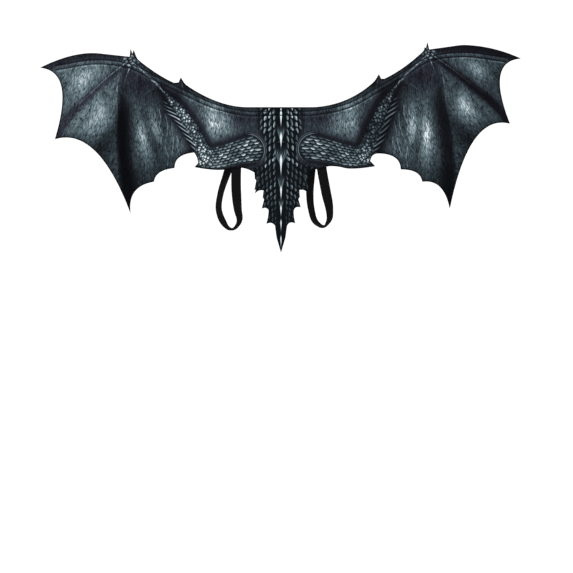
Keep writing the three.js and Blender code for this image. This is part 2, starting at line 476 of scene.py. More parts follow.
class Paint:
    """The node tree of one finish."""

    def __init__(self, name: str) -> None:
        """Start a material with its principled shader.

        Args:
            name: The material's name.
        """
        self.material = bpy.data.materials.new(name)
        self.material.use_nodes = True
        self.tree = self.material.node_tree
        self.shader = next(n for n in self.tree.nodes if n.type == "BSDF_PRINCIPLED")

    def node(self, kind: str, settings: dict | None = None, sockets: dict | None = None) -> bpy.types.Node:
        """Add a node to this finish."""
        return add_node(self.tree, kind, settings, sockets)

    def finish(self, sockets: dict[str, Any]) -> bpy.types.Material:
        """Complete the finish.

        Args:
            sockets: The values or links of the shader's own inputs.

        Returns:
            The material.
        """
        for key, value in sockets.items():
            feed(self.shader.inputs[key], value)
        return self.material

    def split(self, vector: Value) -> tuple[Value, Value, Value]:
        """The three numbers of a vector."""
        node = self.node("ShaderNodeSeparateXYZ", sockets={"Vector": vector})
        return Value(node.outputs[0]), Value(node.outputs[1]), Value(node.outputs[2])

    def layer(self, name: str) -> tuple[Value, Value, Value]:
        """The three numbers that the mesh holds under a name."""
        node = self.node("ShaderNodeAttribute", {"attribute_name": name})
        return self.split(Value(node.outputs["Vector"]))

    def woven(self) -> tuple[Value, Value]:
        """The piece's own flat coordinates, across and along."""
        across, along, _ = self.split(Value(self.node("ShaderNodeUVMap").outputs["UV"]))
        return across, along

    def objects(self) -> Value:
        """The piece's Object coordinates."""
        return Value(self.node("ShaderNodeTexCoord").outputs["Object"])

    def vector(self, x: Value | float, y: Value | float) -> Value:
        """A flat vector of two values."""
        node = self.node("ShaderNodeCombineXYZ", sockets={"X": x, "Y": y})
        return Value(node.outputs["Vector"])

    def counted(self, x: Value, y: Value, size: tuple[float, float]) -> Value:
        """A flat vector of two values, each counted in units of a size."""
        return self.vector(x / size[0], y / size[1])

    def noise(
        self, place: Value, scale: float = 1.0, detail: float = 2.0, rough: float = 0.5, twist: float = 0.0
    ) -> Value:
        """Cloudy noise.

        Args:
            place: Where it is read.
            scale: How fine it is.
            detail: Finer octaves in it.
            rough: How strong those are.
            twist: How far it is stirred.

        Returns:
            A value about 0.5.
        """
        sockets = {"Vector": place, "Scale": scale, "Detail": detail, "Roughness": rough, "Distortion": twist}
        return Value(self.node("ShaderNodeTexNoise", {}, sockets).outputs[0])

    def cells(self, place: Value, feature: str) -> bpy.types.Node:
        """Irregular cells.

        Args:
            place: Where they are read, one cell to a unit.
            feature: Which distance is measured.

        Returns:
            The node.
        """
        settings = {"voronoi_dimensions": "2D", "feature": feature}
        sockets = {"Vector": place, "Scale": 1.0, "Randomness": 1.0}
        return self.node("ShaderNodeTexVoronoi", settings, sockets)

    def creases(self, place: Value) -> Value:
        """Distance to the creases between irregular cells, one cell to a unit."""
        return Value(self.cells(place, "DISTANCE_TO_EDGE").outputs["Distance"])

    def pebbles(self, place: Value) -> Flakes:
        """Small many-sided scales of uneven size.

        Args:
            place: Where they are read, one scale to a unit.

        Returns:
            The pattern's parts.
        """
        middle = self.cells(place, "F1")
        tone, _, _ = self.split(Value(middle.outputs["Color"]))
        lit = Value(middle.outputs["Distance"]).down(0.05, 0.55)
        return Flakes(self.creases(place).up(0.02, 0.17), lit, tone)

    def flakes(self, along: Value, across: Value, length: float, width: float, lean: float = 0.0) -> Flakes:
        """Pointed scales in brick rows.

        Args:
            along: Place along a row, one scale to a unit.
            across: Place across the rows, one row to a unit.
            length: Share of its cell that a scale fills along the row.
            width: Share that it fills across.
            lean: How far a scale slants across its row.

        Returns:
            The pattern's parts.
        """
        row = across.floor()
        place = along + row * 0.5
        a = place.fract() - 0.5
        b = (across.fract() - 0.5 - a * lean) * (2.0 / width)
        cell = self.vector(place.floor(), row)
        node = self.node("ShaderNodeTexWhiteNoise", {"noise_dimensions": "2D"}, {"Vector": cell})
        tone = Value(node.outputs["Value"])
        body = (1.0 - a * a * (4.0 / length**2) - abs(b) / (tone * 0.4 + 0.8)).up(0.0, 0.32)
        lit = body * (b + a * 0.5).up(-0.35, 0.75)
        return Flakes(body, lit, tone)

    def bump(self, height: Value, depth: float, strength: float) -> Value:
        """A normal from a height.

        Args:
            height: The height, 0 to 1.
            depth: What a height of 1 is, in metres.
            strength: How much of it shows.

        Returns:
            The normal.
        """
        sockets = {"Height": height, "Distance": depth, "Strength": strength}
        return Value(self.node("ShaderNodeBump", {}, sockets).outputs["Normal"])

    def tinted(self, colour: Value, tint: Colour, share: Value) -> Value:
        """Tint a colour.

        Args:
            colour: The colour.
            tint: What it is multiplied by.
            share: How much of that shows.

        Returns:
            The tinted colour.
        """
        settings = {"data_type": "RGBA", "blend_type": "MULTIPLY"}
        node = self.node("ShaderNodeMix", settings, {MIX_SHARE: share, MIX_LOW: colour, MIX_HIGH: tint})
        return Value(node.outputs[MIXED])

    def between(self, share: Value, low: Colour, high: Colour) -> Value:
        """A colour between two."""
        sockets = {MIX_SHARE: share, MIX_LOW: low, MIX_HIGH: high}
        return Value(self.node("ShaderNodeMix", {"data_type": "RGBA"}, sockets).outputs[MIXED])

    def ramp(self, share: Value, stops: Sequence[tuple[float, Colour]]) -> Value:
        """A colour from a ramp of stops."""
        node = self.node("ShaderNodeValToRGB", {"stops": stops}, {"Fac": share})
        return Value(node.outputs["Color"])


def dye(red: int, green: int, blue: int) -> Colour:
    """Work out a dye from the screen colour that it shows in the studio's light.

    Args:
        red: The screen colour's red, 0 to 255.
        green: Its green.
        blue: Its blue.

    Returns:
        The linear colour.
    """
    linear = [
        part / 12.92 if part <= 0.04045 else ((part + 0.055) / 1.055) ** 2.4
        for part in (red / 255, green / 255, blue / 255)
    ]
    return (*(part / LIGHT_LEVEL for part in linear), 1.0)


@dataclass(frozen=True)
class PrintInk:
    """How one face of the felt takes the print.

    Attributes:
        name: The material's name.
        stops: Places and colours of the ramp that inks a tone.
        tint: Colour by which purple places are multiplied.
        lift: What the membrane gains in tone.
        shade_and_highlight: Share of the painted shade and highlights along the casing's seams.
        uneven: Share of what differs from wing to wing on the outer face.
        surround: Depth of the shade around the limbs and the back.
        halo: How far that shade reaches.
        glow: Share of the membrane's pale patches.
        shadow: Share of its dark patches.
        streak: How long the grain is drawn.
        wrinkle: Strength of the grain.
        crack: Depth of its cracks.
        gap: Tone between the scales.
        body: Tone of the scales of the limbs.
        shine: Tone of their lit sides.
        spine: Tone of the scales of the back.
        hairline: Tone of the thin pale lines.
        border: Depth of the dark line inside the cut edge.
        cloud: Size of the grain's clouds, across and along.
        bend: Size of the noise that bends its creases.
        cracks: Size of the skin between two cracks.
        wrinkles: Size of the skin between two wrinkles.
        hatch: Size of the finest strokes.
        crease: Size of the paired pale and dark folds.
        arcs: Distances of the two thin arcs from the shoulder's cap.
        knob: Size of the wrist's scales.
        broken: Size of the breaks in the hairlines.
        quill: Distance between two spines of the forearm.
    """

    name: str
    stops: tuple[tuple[float, Colour], ...]
    tint: Colour
    lift: float
    shade_and_highlight: float
    uneven: float
    surround: float
    halo: float
    glow: float
    shadow: float
    streak: float
    wrinkle: float
    crack: float
    gap: float
    body: float
    shine: float
    spine: float
    hairline: float
    border: float
    cloud: tuple[float, float] = (18.0, 34.0)
    bend: tuple[float, float] = (11.0, 20.0)
    cracks: tuple[float, float] = (12.0, 40.0)
    wrinkles: tuple[float, float] = (4.2, 11.0)
    hatch: tuple[float, float] = (2.4, 7.5)
    crease: tuple[float, float] = (7.0, 24.0)
    arcs: tuple[float, float] = (1.4, 5.0)
    knob: tuple[float, float] = (8.4, 7.2)
    broken: tuple[float, float] = (4.5, 6.0)
    quill: float = 16.5

    def material(self) -> bpy.types.Material:
        """Paint the print.

        Returns:
            The face's material.
        """
        paint = Paint(self.name)
        reach, rise, edge = paint.layer("pattern")
        reach = abs(reach)
        tone, purple, line_gain = paint.layer("shade")
        across, down, limb = paint.layer("grain")
        tone = tone * (1.0 + self._grain(paint, across, down) * (limb.up(-2.0, 24.0) * 0.5 + 0.5))
        tone = self._upper_arm(paint, tone, limb)
        tone = self._forearm(paint, tone, reach, rise, limb)
        tone = self._spine(paint, tone, reach)
        tone = self._shoulder(paint, tone)
        line, wrist, worn = paint.layer("lines")
        knobs = paint.pebbles(paint.counted(reach, rise, self.knob))
        knob_tone = knobs.body * (knobs.tone * 0.35 + 0.2 + knobs.lit * 0.35) + self.gap * 0.2
        tone = tone.towards(knob_tone * self.hairline * 2.2, wrist)
        broken = paint.noise(paint.counted(reach, rise, self.broken), detail=1.0).up(0.3, 0.65)
        hair = abs(line).down(0.3, 1.4) * line_gain * (broken * 0.8 + 0.4)
        # worn multiplies in the painted shade and highlights along the seams, the painted light and shade of
        # each wing, and the inner face's own print tone.
        tone = (tone + hair * self.hairline) * (worn + 1.0) * (1.0 - edge.down(0.5, 3.4) * self.border)
        tint = purple * tone.down(0.3, 0.6)
        colour = paint.tinted(paint.ramp(tone, self.stops), self.tint, tint)
        fibre = paint.noise(paint.objects(), scale=900.0, detail=3.0, rough=0.7)
        return paint.finish(
            {
                "Base Color": colour,
                "Roughness": 0.74 + fibre * 0.2,
                "Specular IOR Level": 0.015,
                "Normal": paint.bump(fibre + tone * 0.4, 0.00035, 0.5),
            }
        )

    def _grain(self, paint: Paint, across: Value, down: Value) -> Value:
        """The drawn skin between the fingers: clouds, fine wrinkles and cracks.

        Args:
            paint: The face's nodes.
            across: Place across the grain in millimetres.
            down: Place along it.

        Returns:
            What the grain adds to a tone of 1.
        """
        run = down / self.streak
        broad = paint.noise(paint.counted(across, run, self.cloud), twist=0.6)
        stir = paint.noise(paint.counted(across, run, self.bend), detail=3.0, rough=0.6)
        wide, tall = self.cracks
        large = paint.creases(paint.vector(across / wide + stir * 2.2, run / tall + stir * 0.8))
        wide, tall = self.wrinkles
        small = paint.creases(paint.vector(across / wide + stir * 2.6, run / tall + stir * 1.4))
        fine = paint.noise(paint.counted(across, run, self.hatch), rough=0.6, twist=0.6)
        wide, tall = self.crease
        fold = paint.noise(paint.vector(across / wide + stir * 1.5, run / tall), rough=0.55)
        wave = (broad.up(0.3, 0.7) - 0.5) * 0.3 + (fine.up(0.3, 0.7) - 0.5) * 0.44
        wave = wave + (small.up(0.01, 0.2) - 0.72) * 0.38 - large.down(0.0, 0.05) * self.crack
        wave = wave + (abs(fold - 0.5).down(0.0, 0.025) - abs(fold - 0.55).down(0.0, 0.03)) * 0.32
        return wave * self.wrinkle

    def _upper_arm(self, paint: Paint, tone: Value, limb: Value) -> Value:
        """The pointed scales of the upper arm.

        Args:
            paint: The face's nodes.
            tone: The tone without them.
            limb: Distance outside both limbs, which darkens their rims.

        Returns:
            The tone with them.
        """
        along, across, out = paint.layer("arm")
        place = paint.vector(along, across)
        along = along + paint.noise(place, scale=0.8, detail=1.0) * 0.9
        across = across + paint.noise(place, scale=0.55, detail=1.0) * 0.8
        flakes = paint.flakes(along, across, length=1.08, width=1.04)
        shown = flakes.body * (flakes.tone * 0.5 + 0.65) * self.body
        lit = flakes.lit * (flakes.tone * 0.95 + 0.7) * self.shine
        shown = (shown + lit) * limb.down(-10.0, 3.0) * 1.06 + self.gap
        return tone.towards(shown, out.down(-3.0, 1.0))

    def _forearm(self, paint: Paint, tone: Value, reach: Value, rise: Value, limb: Value) -> Value:
        """The small round scales of the forearm and the spines along its outer side.

        Args:
            paint: The face's nodes.
            tone: The tone without them.
            reach: Place along the span in the print.
            rise: Place above the neck in the print.
            limb: Distance outside both limbs, which darkens their rims.

        Returns:
            The tone with them.
        """
        along, across, out = paint.layer("forearm")
        pebbles = paint.pebbles(paint.vector(reach / 6.4 + rise / 18.0, rise / 7.6 - reach / 22.0))
        shown = pebbles.body * (pebbles.tone * 0.7 + 0.7) * self.body
        lit = pebbles.body * pebbles.lit * (pebbles.tone * 1.1 + 0.35) * self.shine
        shown = (shown + lit) * limb.down(-14.0, 3.0) * 1.4 + self.gap * 0.45
        tone = tone.towards(shown, out.down(-3.0, 0.5))
        quills = (along + across * 2.3) / self.quill
        one = paint.node("ShaderNodeTexWhiteNoise", {"noise_dimensions": "1D"}, {"W": quills.floor()})
        gain = Value(one.outputs["Value"])
        window = across.up(9.0, 13.0) * (across - gain * 7.0).down(13.0, 21.0) * along.up(20.0, 40.0)
        quill = abs(quills.fract() - 0.5).down(0.07, 0.23) * window * along.down(150.0, 162.0)
        return tone + quill * (gain * 0.7 + 1.25) * self.shine

    def _spine(self, paint: Paint, tone: Value, reach: Value) -> Value:
        """The long scales beside the spine and the pale ridges down its middle.

        Args:
            paint: The face's nodes.
            tone: The tone without them.
            reach: Place along the span in the print.

        Returns:
            The tone with them.
        """
        across, down, out = paint.layer("spine")
        ridge, plume, fade = paint.layer("ridge")
        _, _, fallen = paint.layer("shoulder")
        across = abs(across)
        place = paint.vector(across, down)
        bent = across + (paint.noise(place, scale=0.7) - 0.5) * 0.9
        drop = down + paint.noise(place, scale=0.9, detail=1.0) - 0.5
        flakes = paint.flakes(drop, bent, length=1.0, width=0.58, lean=0.4)
        shown = flakes.body * (flakes.tone * 0.26 + 0.17) + flakes.lit * (flakes.tone * 0.54 + 0.15)
        shown = shown.least(0.78) * reach.up(8.5, 12.5) * fade * self.spine + self.gap * 0.6
        spread = reach / plume
        comb = paint.noise(paint.vector(spread * 7.0, down * 0.3), detail=1.0)
        tips = (fallen - comb * 1.2).up(-0.6, -0.26) * fallen.down(0.7, 1.0)
        strand = abs(spread - 0.56).down(0.0, 0.46) * 0.5 + spread.down(0.0, 0.75) * 0.38
        shown = shown + strand * (comb.up(0.38, 0.6) * 0.85 + 0.2) * tips
        shown = shown.towards(1.08, (reach - ridge).down(-1.6, 0.1))
        return tone.towards(shown, out.down(-5.0, 2.0))

    def _shoulder(self, paint: Paint, tone: Value) -> Value:
        """The two thin arcs around the shoulder's cap.

        Args:
            paint: The face's nodes.
            tone: The tone without them.

        Returns:
            The tone with them.
        """
        ring, cap, _ = paint.layer("shoulder")
        near, far = (abs(ring - radius).down(0.4, 1.3) for radius in self.arcs)
        tone = tone.towards(self.gap, cap * ring.up(-2.0, 0.5) * ring.down(6.0, 8.0) * 0.8)
        return tone + (near + far * 0.6) * cap * self.hairline


OUTER_INK = PrintInk(
    name="outer_print",
    stops=(
        (0.0, dye(4, 5, 8)),
        (0.12, dye(21, 25, 29)),
        (0.3, dye(50, 61, 67)),
        (0.55, dye(97, 114, 120)),
        (0.8, dye(147, 162, 169)),
        (1.0, dye(228, 236, 240)),
    ),
    tint=(1.16, 0.9, 1.04, 1.0),
    lift=0.0,
    shade_and_highlight=1.0,
    uneven=1.0,
    surround=0.68,
    halo=10.5,
    glow=1.0,
    shadow=0.9,
    streak=1.5,
    wrinkle=0.95,
    crack=0.3,
    gap=0.1,
    body=0.24,
    shine=0.42,
    spine=1.0,
    hairline=0.45,
    border=0.75,
)

INNER_INK = PrintInk(
    name="inner_print",
    stops=(
        (0.0, dye(6, 9, 14)),
        (0.12, dye(17, 26, 33)),
        (0.3, dye(44, 62, 72)),
        (0.55, dye(92, 120, 127)),
        (0.8, dye(140, 168, 175)),
        (1.0, dye(222, 236, 242)),
    ),
    tint=(0.97, 0.97, 1.04, 1.0),
    lift=0.1,
    shade_and_highlight=0.66,
    uneven=0.0,
    surround=0.76,
    halo=13.0,
    glow=0.8,
    shadow=0.85,
    streak=2.4,
    wrinkle=0.54,
    crack=0.22,
    gap=0.07,
    body=0.13,
    shine=0.24,
    spine=0.5,
    hairline=0.3,
    border=0.85,
)


@dataclass(frozen=True)
class CutFelt:
    """The cut edge of the felt, where its dark fibres show."""

    dark: Colour = dye(12, 12, 15)
    pale: Colour = dye(46, 49, 55)

    def material(self) -> bpy.types.Material:
        """Paint the fibres.

        Returns:
            The cut edge's material.
        """
        paint = Paint("cut_felt")
        fibre = paint.noise(paint.objects(), scale=1400.0, detail=3.0, rough=0.7)
        return paint.finish(
            {
                "Base Color": paint.between(fibre.up(0.35, 0.75), self.dark, self.pale),
                "Roughness": 0.85 + fibre * 0.12,
                "Specular IOR Level": 0.02,
                "Normal": paint.bump(fibre, 0.0003, 0.7),
            }
        )


@dataclass(frozen=True)
class Weave:
    """A plain black weave, read from a band's own flat coordinates.

    Attributes:
        name: The material's name.
        ground: Colour between the yarns, in painted shade.
        lit: Colour of the yarns' crowns, a painted highlight.
        width: The band's width in metres.
        length: Its length in metres.
        warps: How many yarns run along it.
        pick: Distance between two yarns across it, in metres.
        slub: Strength of the yarns' unevenness.
        depth: Height of the yarns in metres.
    """

    name: str
    ground: Colour
    lit: Colour
    width: float
    length: float
    warps: float
    pick: float
    slub: float
    depth: float

    def material(self) -> bpy.types.Material:
        """Paint the yarns.

        Returns:
            The band's material.
        """
        paint = Paint(self.name)
        across, along = paint.woven()
        rib = (across * self.warps).fract() - 0.5
        cord = 1.0 - rib * rib * 4.0
        pick = (along * (self.length / self.pick) + (across * self.warps).floor() * 0.5).fract() - 0.5
        yarn = cord * (1.0 - pick * pick * 3.0)
        slub = paint.noise(paint.vector(across * self.width * 900, along * self.length * 260), detail=3.0)
        # wear runs from the painted shade between the yarns to the painted highlight on their crowns, with
        # the yarns' own unevenness added.
        shade_and_highlight = yarn * 0.55 + slub.up(0.35, 0.8) * self.slub
        return paint.finish(
            {
                "Base Color": paint.between(shade_and_highlight, self.ground, self.lit),
                "Roughness": 0.9 - yarn * 0.18,
                "Specular IOR Level": 0.02,
                "Normal": paint.bump(yarn, self.depth, 0.8),
            }
        )


TAPE_WEAVE = Weave(
    name="casing_weave",
    ground=dye(5, 5, 6),
    lit=dye(33, 34, 37),
    width=0.012,
    length=1.04,
    warps=16.0,
    pick=0.0011,
    slub=0.4,
    depth=0.00025,
)

ELASTIC_WEAVE = Weave(
    name="elastic_weave",
    ground=dye(4, 4, 5),
    lit=dye(30, 30, 32),
    width=0.021,
    length=0.43,
    warps=15.0,
    pick=0.0011,
    slub=0.35,
    depth=0.0004,
)


@dataclass(frozen=True)
class Thread:
    """Twisted black sewing thread."""

    dark: Colour = dye(9, 9, 11)
    pale: Colour = dye(52, 54, 58)

    def material(self) -> bpy.types.Material:
        """Paint the twist.

        Returns:
            The thread's material.
        """
        paint = Paint("black_thread")
        twist = paint.noise(paint.objects(), scale=2400.0)
        return paint.finish(
            {
                "Base Color": paint.between(twist.up(0.35, 0.7), self.dark, self.pale),
                "Roughness": 0.5 + twist * 0.2,
                "Specular IOR Level": 0.05,
                "Normal": paint.bump(twist, 0.0002, 0.5),
            }
        )


def mesh_points(mesh: bpy.types.Mesh) -> Array:
    """Read a mesh's points.

    Args:
        mesh: The mesh.

    Returns:
        Its points, one row each.
    """
    flat = np.zeros(len(mesh.vertices) * 3)
    mesh.vertices.foreach_get("co", flat)
    return flat.reshape(-1, 3)


class MergedNode:
    """A CAD node's mesh with its loose triangles joined, in millimetres."""

    def __init__(self, name: str) -> None:
        """Read the node.

        Args:
            name: The node's name.
        """
        mesh = frame["nodes"][name].data
        loose = mesh_points(mesh) / MM
        _, first, joined = np.unique(np.round(loose, 3), axis=0, return_index=True, return_inverse=True)
        mesh.calc_loop_triangles()
        corners = np.zeros(len(mesh.loop_triangles) * 3, np.int32)
        mesh.loop_triangles.foreach_get("vertices", corners)
        self.points: Array = loose[first]
        self.triangles: Array = joined.ravel()[corners].reshape(-1, 3)

    def outer_loop(self) -> Array:
        """Follow the edge of the face that looks along -Y.

        Returns:
            The closed loop in X and Z.
        """
        a, b, c = (self.points[self.triangles[:, k]] for k in range(3))
        normal = np.cross(b - a, c - a)
        front = self.triangles[normal[:, 1] < -0.5 * np.linalg.norm(normal, axis=1)]
        after = dict(border_edges(front))
        start = min(after)
        loop = [start]
        while after[loop[-1]] != start:
            loop.append(after[loop[-1]])
        return self.points[loop][:, [0, 2]]

    def rings(self, way: Array, reach: float) -> list[Array]:
        """Take a bent band apart into its rings of points.

        Args:
            way: The direction in which its first end lies.
            reach: How far back from that end the first ring's points may lie.

        Returns:
            The rings' points from that end to the other.
        """
        near: dict[int, set[int]] = {index: set() for index in range(len(self.points))}
        for a, b, c in self.triangles.tolist():
            near[a] |= {b, c}
            near[b] |= {a, c}
            near[c] |= {a, b}
        far = self.points @ way
        ring = {int(i) for i in np.flatnonzero(far > far.max() - reach)}
        seen = set(ring)
        found = []
        while ring:
            found.append(self.points[sorted(ring)])
            ring = {n for i in ring for n in near[i]} - seen
            seen |= ring
        return found


class BandPath:
    """The middle line of a bent band and the way across it."""

    EDGE = 0.5

    def __init__(self, node: str, way: Sequence[float], reach: float, steps: int) -> None:
        """Read the path of a CAD node's rings and smooth it.

        Args:
            node: The node's name.
            way: The direction in which its first end lies.
            reach: How far back from that end the first ring's points may lie.
            steps: How many steps to make between two rings.
        """
        centres, acrosses = [], []
        for ring in MergedNode(node).rings(np.array(way, float), reach):
            spread = ring - ring.mean(axis=0)
            across = np.linalg.svd(spread)[2][0]
            if acrosses and across @ acrosses[-1] < 0.0:
                across = -across
            offsets = spread @ across
            high = ring[offsets > offsets.max() - self.EDGE].mean(axis=0)
            low = ring[offsets < offsets.min() + self.EDGE].mean(axis=0)
            centres.append((high + low) / 2)
            acrosses.append(across)
        self.centres = smooth_line(centres, steps)
        self.tangents = unit_rows(np.gradient(self.centres, axis=0))
        across = smooth_line(acrosses, steps)
        across -= (across * self.tangents).sum(axis=1)[:, None] * self.tangents
        self.acrosses = unit_rows(across)
        self.faces = np.cross(self.acrosses, self.tangents)

    @property
    def length(self) -> float:
        """Length of the middle line."""
        return float(lengths_along(self.centres)[-1])

    def turn_over(self, towards: Sequence[float]) -> None:
        """Turn the band's face over if need be.

        Args:
            towards: The way that it has to look at its first end.
        """
        if self.faces[0] @ np.array(towards, float) < 0.0:
            self.acrosses = -self.acrosses
            self.faces = -self.faces


@dataclass(frozen=True)
class FeltForm:
    """How the felt lies: swept back by its wire, swelling between the fingers, lifted at the tail."""

    thickness: float = 1.5
    half_span: float = 525.0
    sweep: float = 42.0
    tail_curl: float = 9.0
    tail_half: float = 60.0
    tail_top: float = -140.0
    tail_end: float = -318.0
    fold: float = 1.1
    fan_root: tuple[float, float] = (328.0, 98.0)
    fan_waves: tuple[float, float] = (11.0, 23.0)
    ripple: float = 0.7
    ripple_waves: tuple[float, float] = (9.0, 5.1)
    ripple_reach: float = 16.0
    swells: tuple[tuple[tuple[str, ...], float, float], ...] = (
        (("wrist_out", "crest", "far_tip", "outer_tip"), 48.0, 7.0),
        (("wrist_out", "outer_tip", "lower_tip"), 58.0, 9.0),
        (("wrist_out", "lower_tip", "cusp_high", "elbow_pit"), 52.0, 9.0),
        (("neck_side", "claw_in", "elbow"), 42.0, 5.0),
    )

    def inner_depth(self, places: Array) -> Array:
        """Find the Y of the inner face.

        Args:
            places: X and Z in millimetres, one row each.

        Returns:
            Y in millimetres.
        """
        x, z = places.T
        depth = self.sweep * (x / self.half_span) ** 2
        for names, radius, height in self.swells:
            for side in Side:
                centre = np.mean([LANDMARKS[name].on(side) for name in names], axis=0)
                away = ((places - centre) ** 2).sum(axis=1) / radius**2
                depth += height * np.exp(-away)
        down = np.clip((self.tail_top - z) / (self.tail_top - self.tail_end), 0.0, 1.0)
        depth += self.tail_curl * down**2 * bell(x, self.tail_half)
        return -depth

    def slack(self, pattern: Array, edge: Beside) -> Array:
        """Soft folds that fan out from the wrist, and a ripple along the free edge.

        Args:
            pattern: Reach and rise in the print.
            edge: Where the places lie beside the cut edge.

        Returns:
            What they add to Y in millimetres.
        """
        reach, rise = np.abs(pattern[:, 0]), pattern[:, 1]
        out, down = reach - self.fan_root[0], self.fan_root[1] - rise
        turn = np.arctan2(out, down)
        far = step_up(np.hypot(out, down), 45.0, 150.0) * step_up(down, 20.0, 60.0)
        broad, narrow = self.fan_waves
        fan = np.sin(turn * broad + 0.6) + 0.5 * np.sin(turn * narrow + 2.0)
        free = np.exp(-edge.distance / self.ripple_reach) * step_up(down, 30.0, 90.0)
        long, short = self.ripple_waves
        wave = np.sin(edge.along / long) + 0.6 * np.sin(edge.along / short + 1.0)
        held = step_up(reach, 165.0, 215.0)
        return held * (self.fold * far * fan + self.ripple * free * wave)


@dataclass(frozen=True)
class Patch:
    """A pale or dark place of the membrane: its middle, its lie in degrees, its radii and its gain."""

    reach: float
    rise: float
    lie: float
    long: float
    short: float
    gain: float

    def over(self, pattern: Array) -> Array:
        """Find how strongly it shows.

        Args:
            pattern: Reach and rise in the print, one row each.

        Returns:
            Its gain at each place.
        """
        turn = math.radians(self.lie)
        away = pattern - (self.reach, self.rise)
        along = away @ (math.cos(turn), math.sin(turn)) / self.long
        across = away @ (-math.sin(turn), math.cos(turn)) / self.short
        return self.gain * np.exp(-(along**2) - across**2)


@dataclass(frozen=True)
class Rib:
    """A dark finger of the wing.

    Attributes:
        line: Its points from the wrist outwards.
        outside: Its half width on the line's left.
        inside: Its half width on the line's right.
        root: Share of its strength at the wrist.
        depth: Its depth of tone on the left wing's outer face.
        right_depth: Its depth on the right wing's outer face.
        inner_depth: Its depth on the inner face.
        inner_width: Its width on the inner face, as a share of that on the outer one.
        purple: Its share of purple.
    """

    line: tuple[tuple[float, float], ...]
    outside: float
    inside: float
    root: float
    depth: float
    right_depth: float
    inner_depth: float
    inner_width: float
    purple: float

    def depths(self, reach: Array, uneven: float) -> Array:
        """Its depth of tone at each signed reach, with the outer face's own share of it."""
        drawn = np.where(reach > 0.0, self.right_depth, self.depth)
        return self.inner_depth + (drawn - self.inner_depth) * uneven

    def over(self, pattern: Array, uneven: float) -> Array:
        """Find how strongly it shows, with the root's share near its start.

        Args:
            pattern: Reach and rise in the print.
            uneven: The outer face's share of its width, the rest being the inner face's.

        Returns:
            0 to 1.
        """
        found = beside(pattern, smooth_line(self.line, 6))
        grown = self.root + (1.0 - self.root) * step_up(found.along, 35.0, 125.0)
        spread = self.inner_width + (1.0 - self.inner_width) * uneven
        width = np.where(found.offset > 0.0, self.outside, self.inside) * (0.5 + 0.5 * grown) * spread
        away = found.distance / width
        return grown * (0.6 * np.exp(-(away**4)) + 0.4 * np.exp(-(away**2)))


@dataclass(frozen=True)
class Limb:
    """A scaled limb: the points of its middle line, with the half width at each."""

    line: tuple[tuple[float, float, float], ...]

    @property
    def path(self) -> Array:
        """Its middle line and half widths, smoothed."""
        return smooth_line(self.line, 8)

    def measure(self, pattern: Array) -> tuple[Beside, Array, Array]:
        """Measure places of the print against the limb.

        Args:
            pattern: Reach and rise, one row each.

        Returns:
            Where they lie beside its middle line, its half width there, and how far outside it they are.
        """
        line = self.path
        found = beside(pattern, line[:, :2])
        half = np.interp(found.along, lengths_along(line[:, :2]), line[:, 2])
        return found, half, found.distance - half


@dataclass(frozen=True)
class Kite:
    """A long kite down the middle of the back: where it starts, is widest and ends, and its half width."""

    top: float
    widest: float
    bottom: float
    half: float

    def edge(self, rise: Array) -> Array:
        """Find how far its edge lies from the middle of the back.

        Args:
            rise: Heights in the print.

        Returns:
            Its half width at each height, less than 0 above and below it.
        """
        grow = (self.top - rise) / (self.top - self.widest)
        shrink = (rise - self.bottom) / (self.widest - self.bottom)
        return self.half * np.minimum(grow, shrink)


@dataclass(frozen=True)
class Hairline:
    """A thin pale line of the print, with its gain at its start and its end."""

    line: tuple[tuple[float, float], ...]
    start: float
    end: float


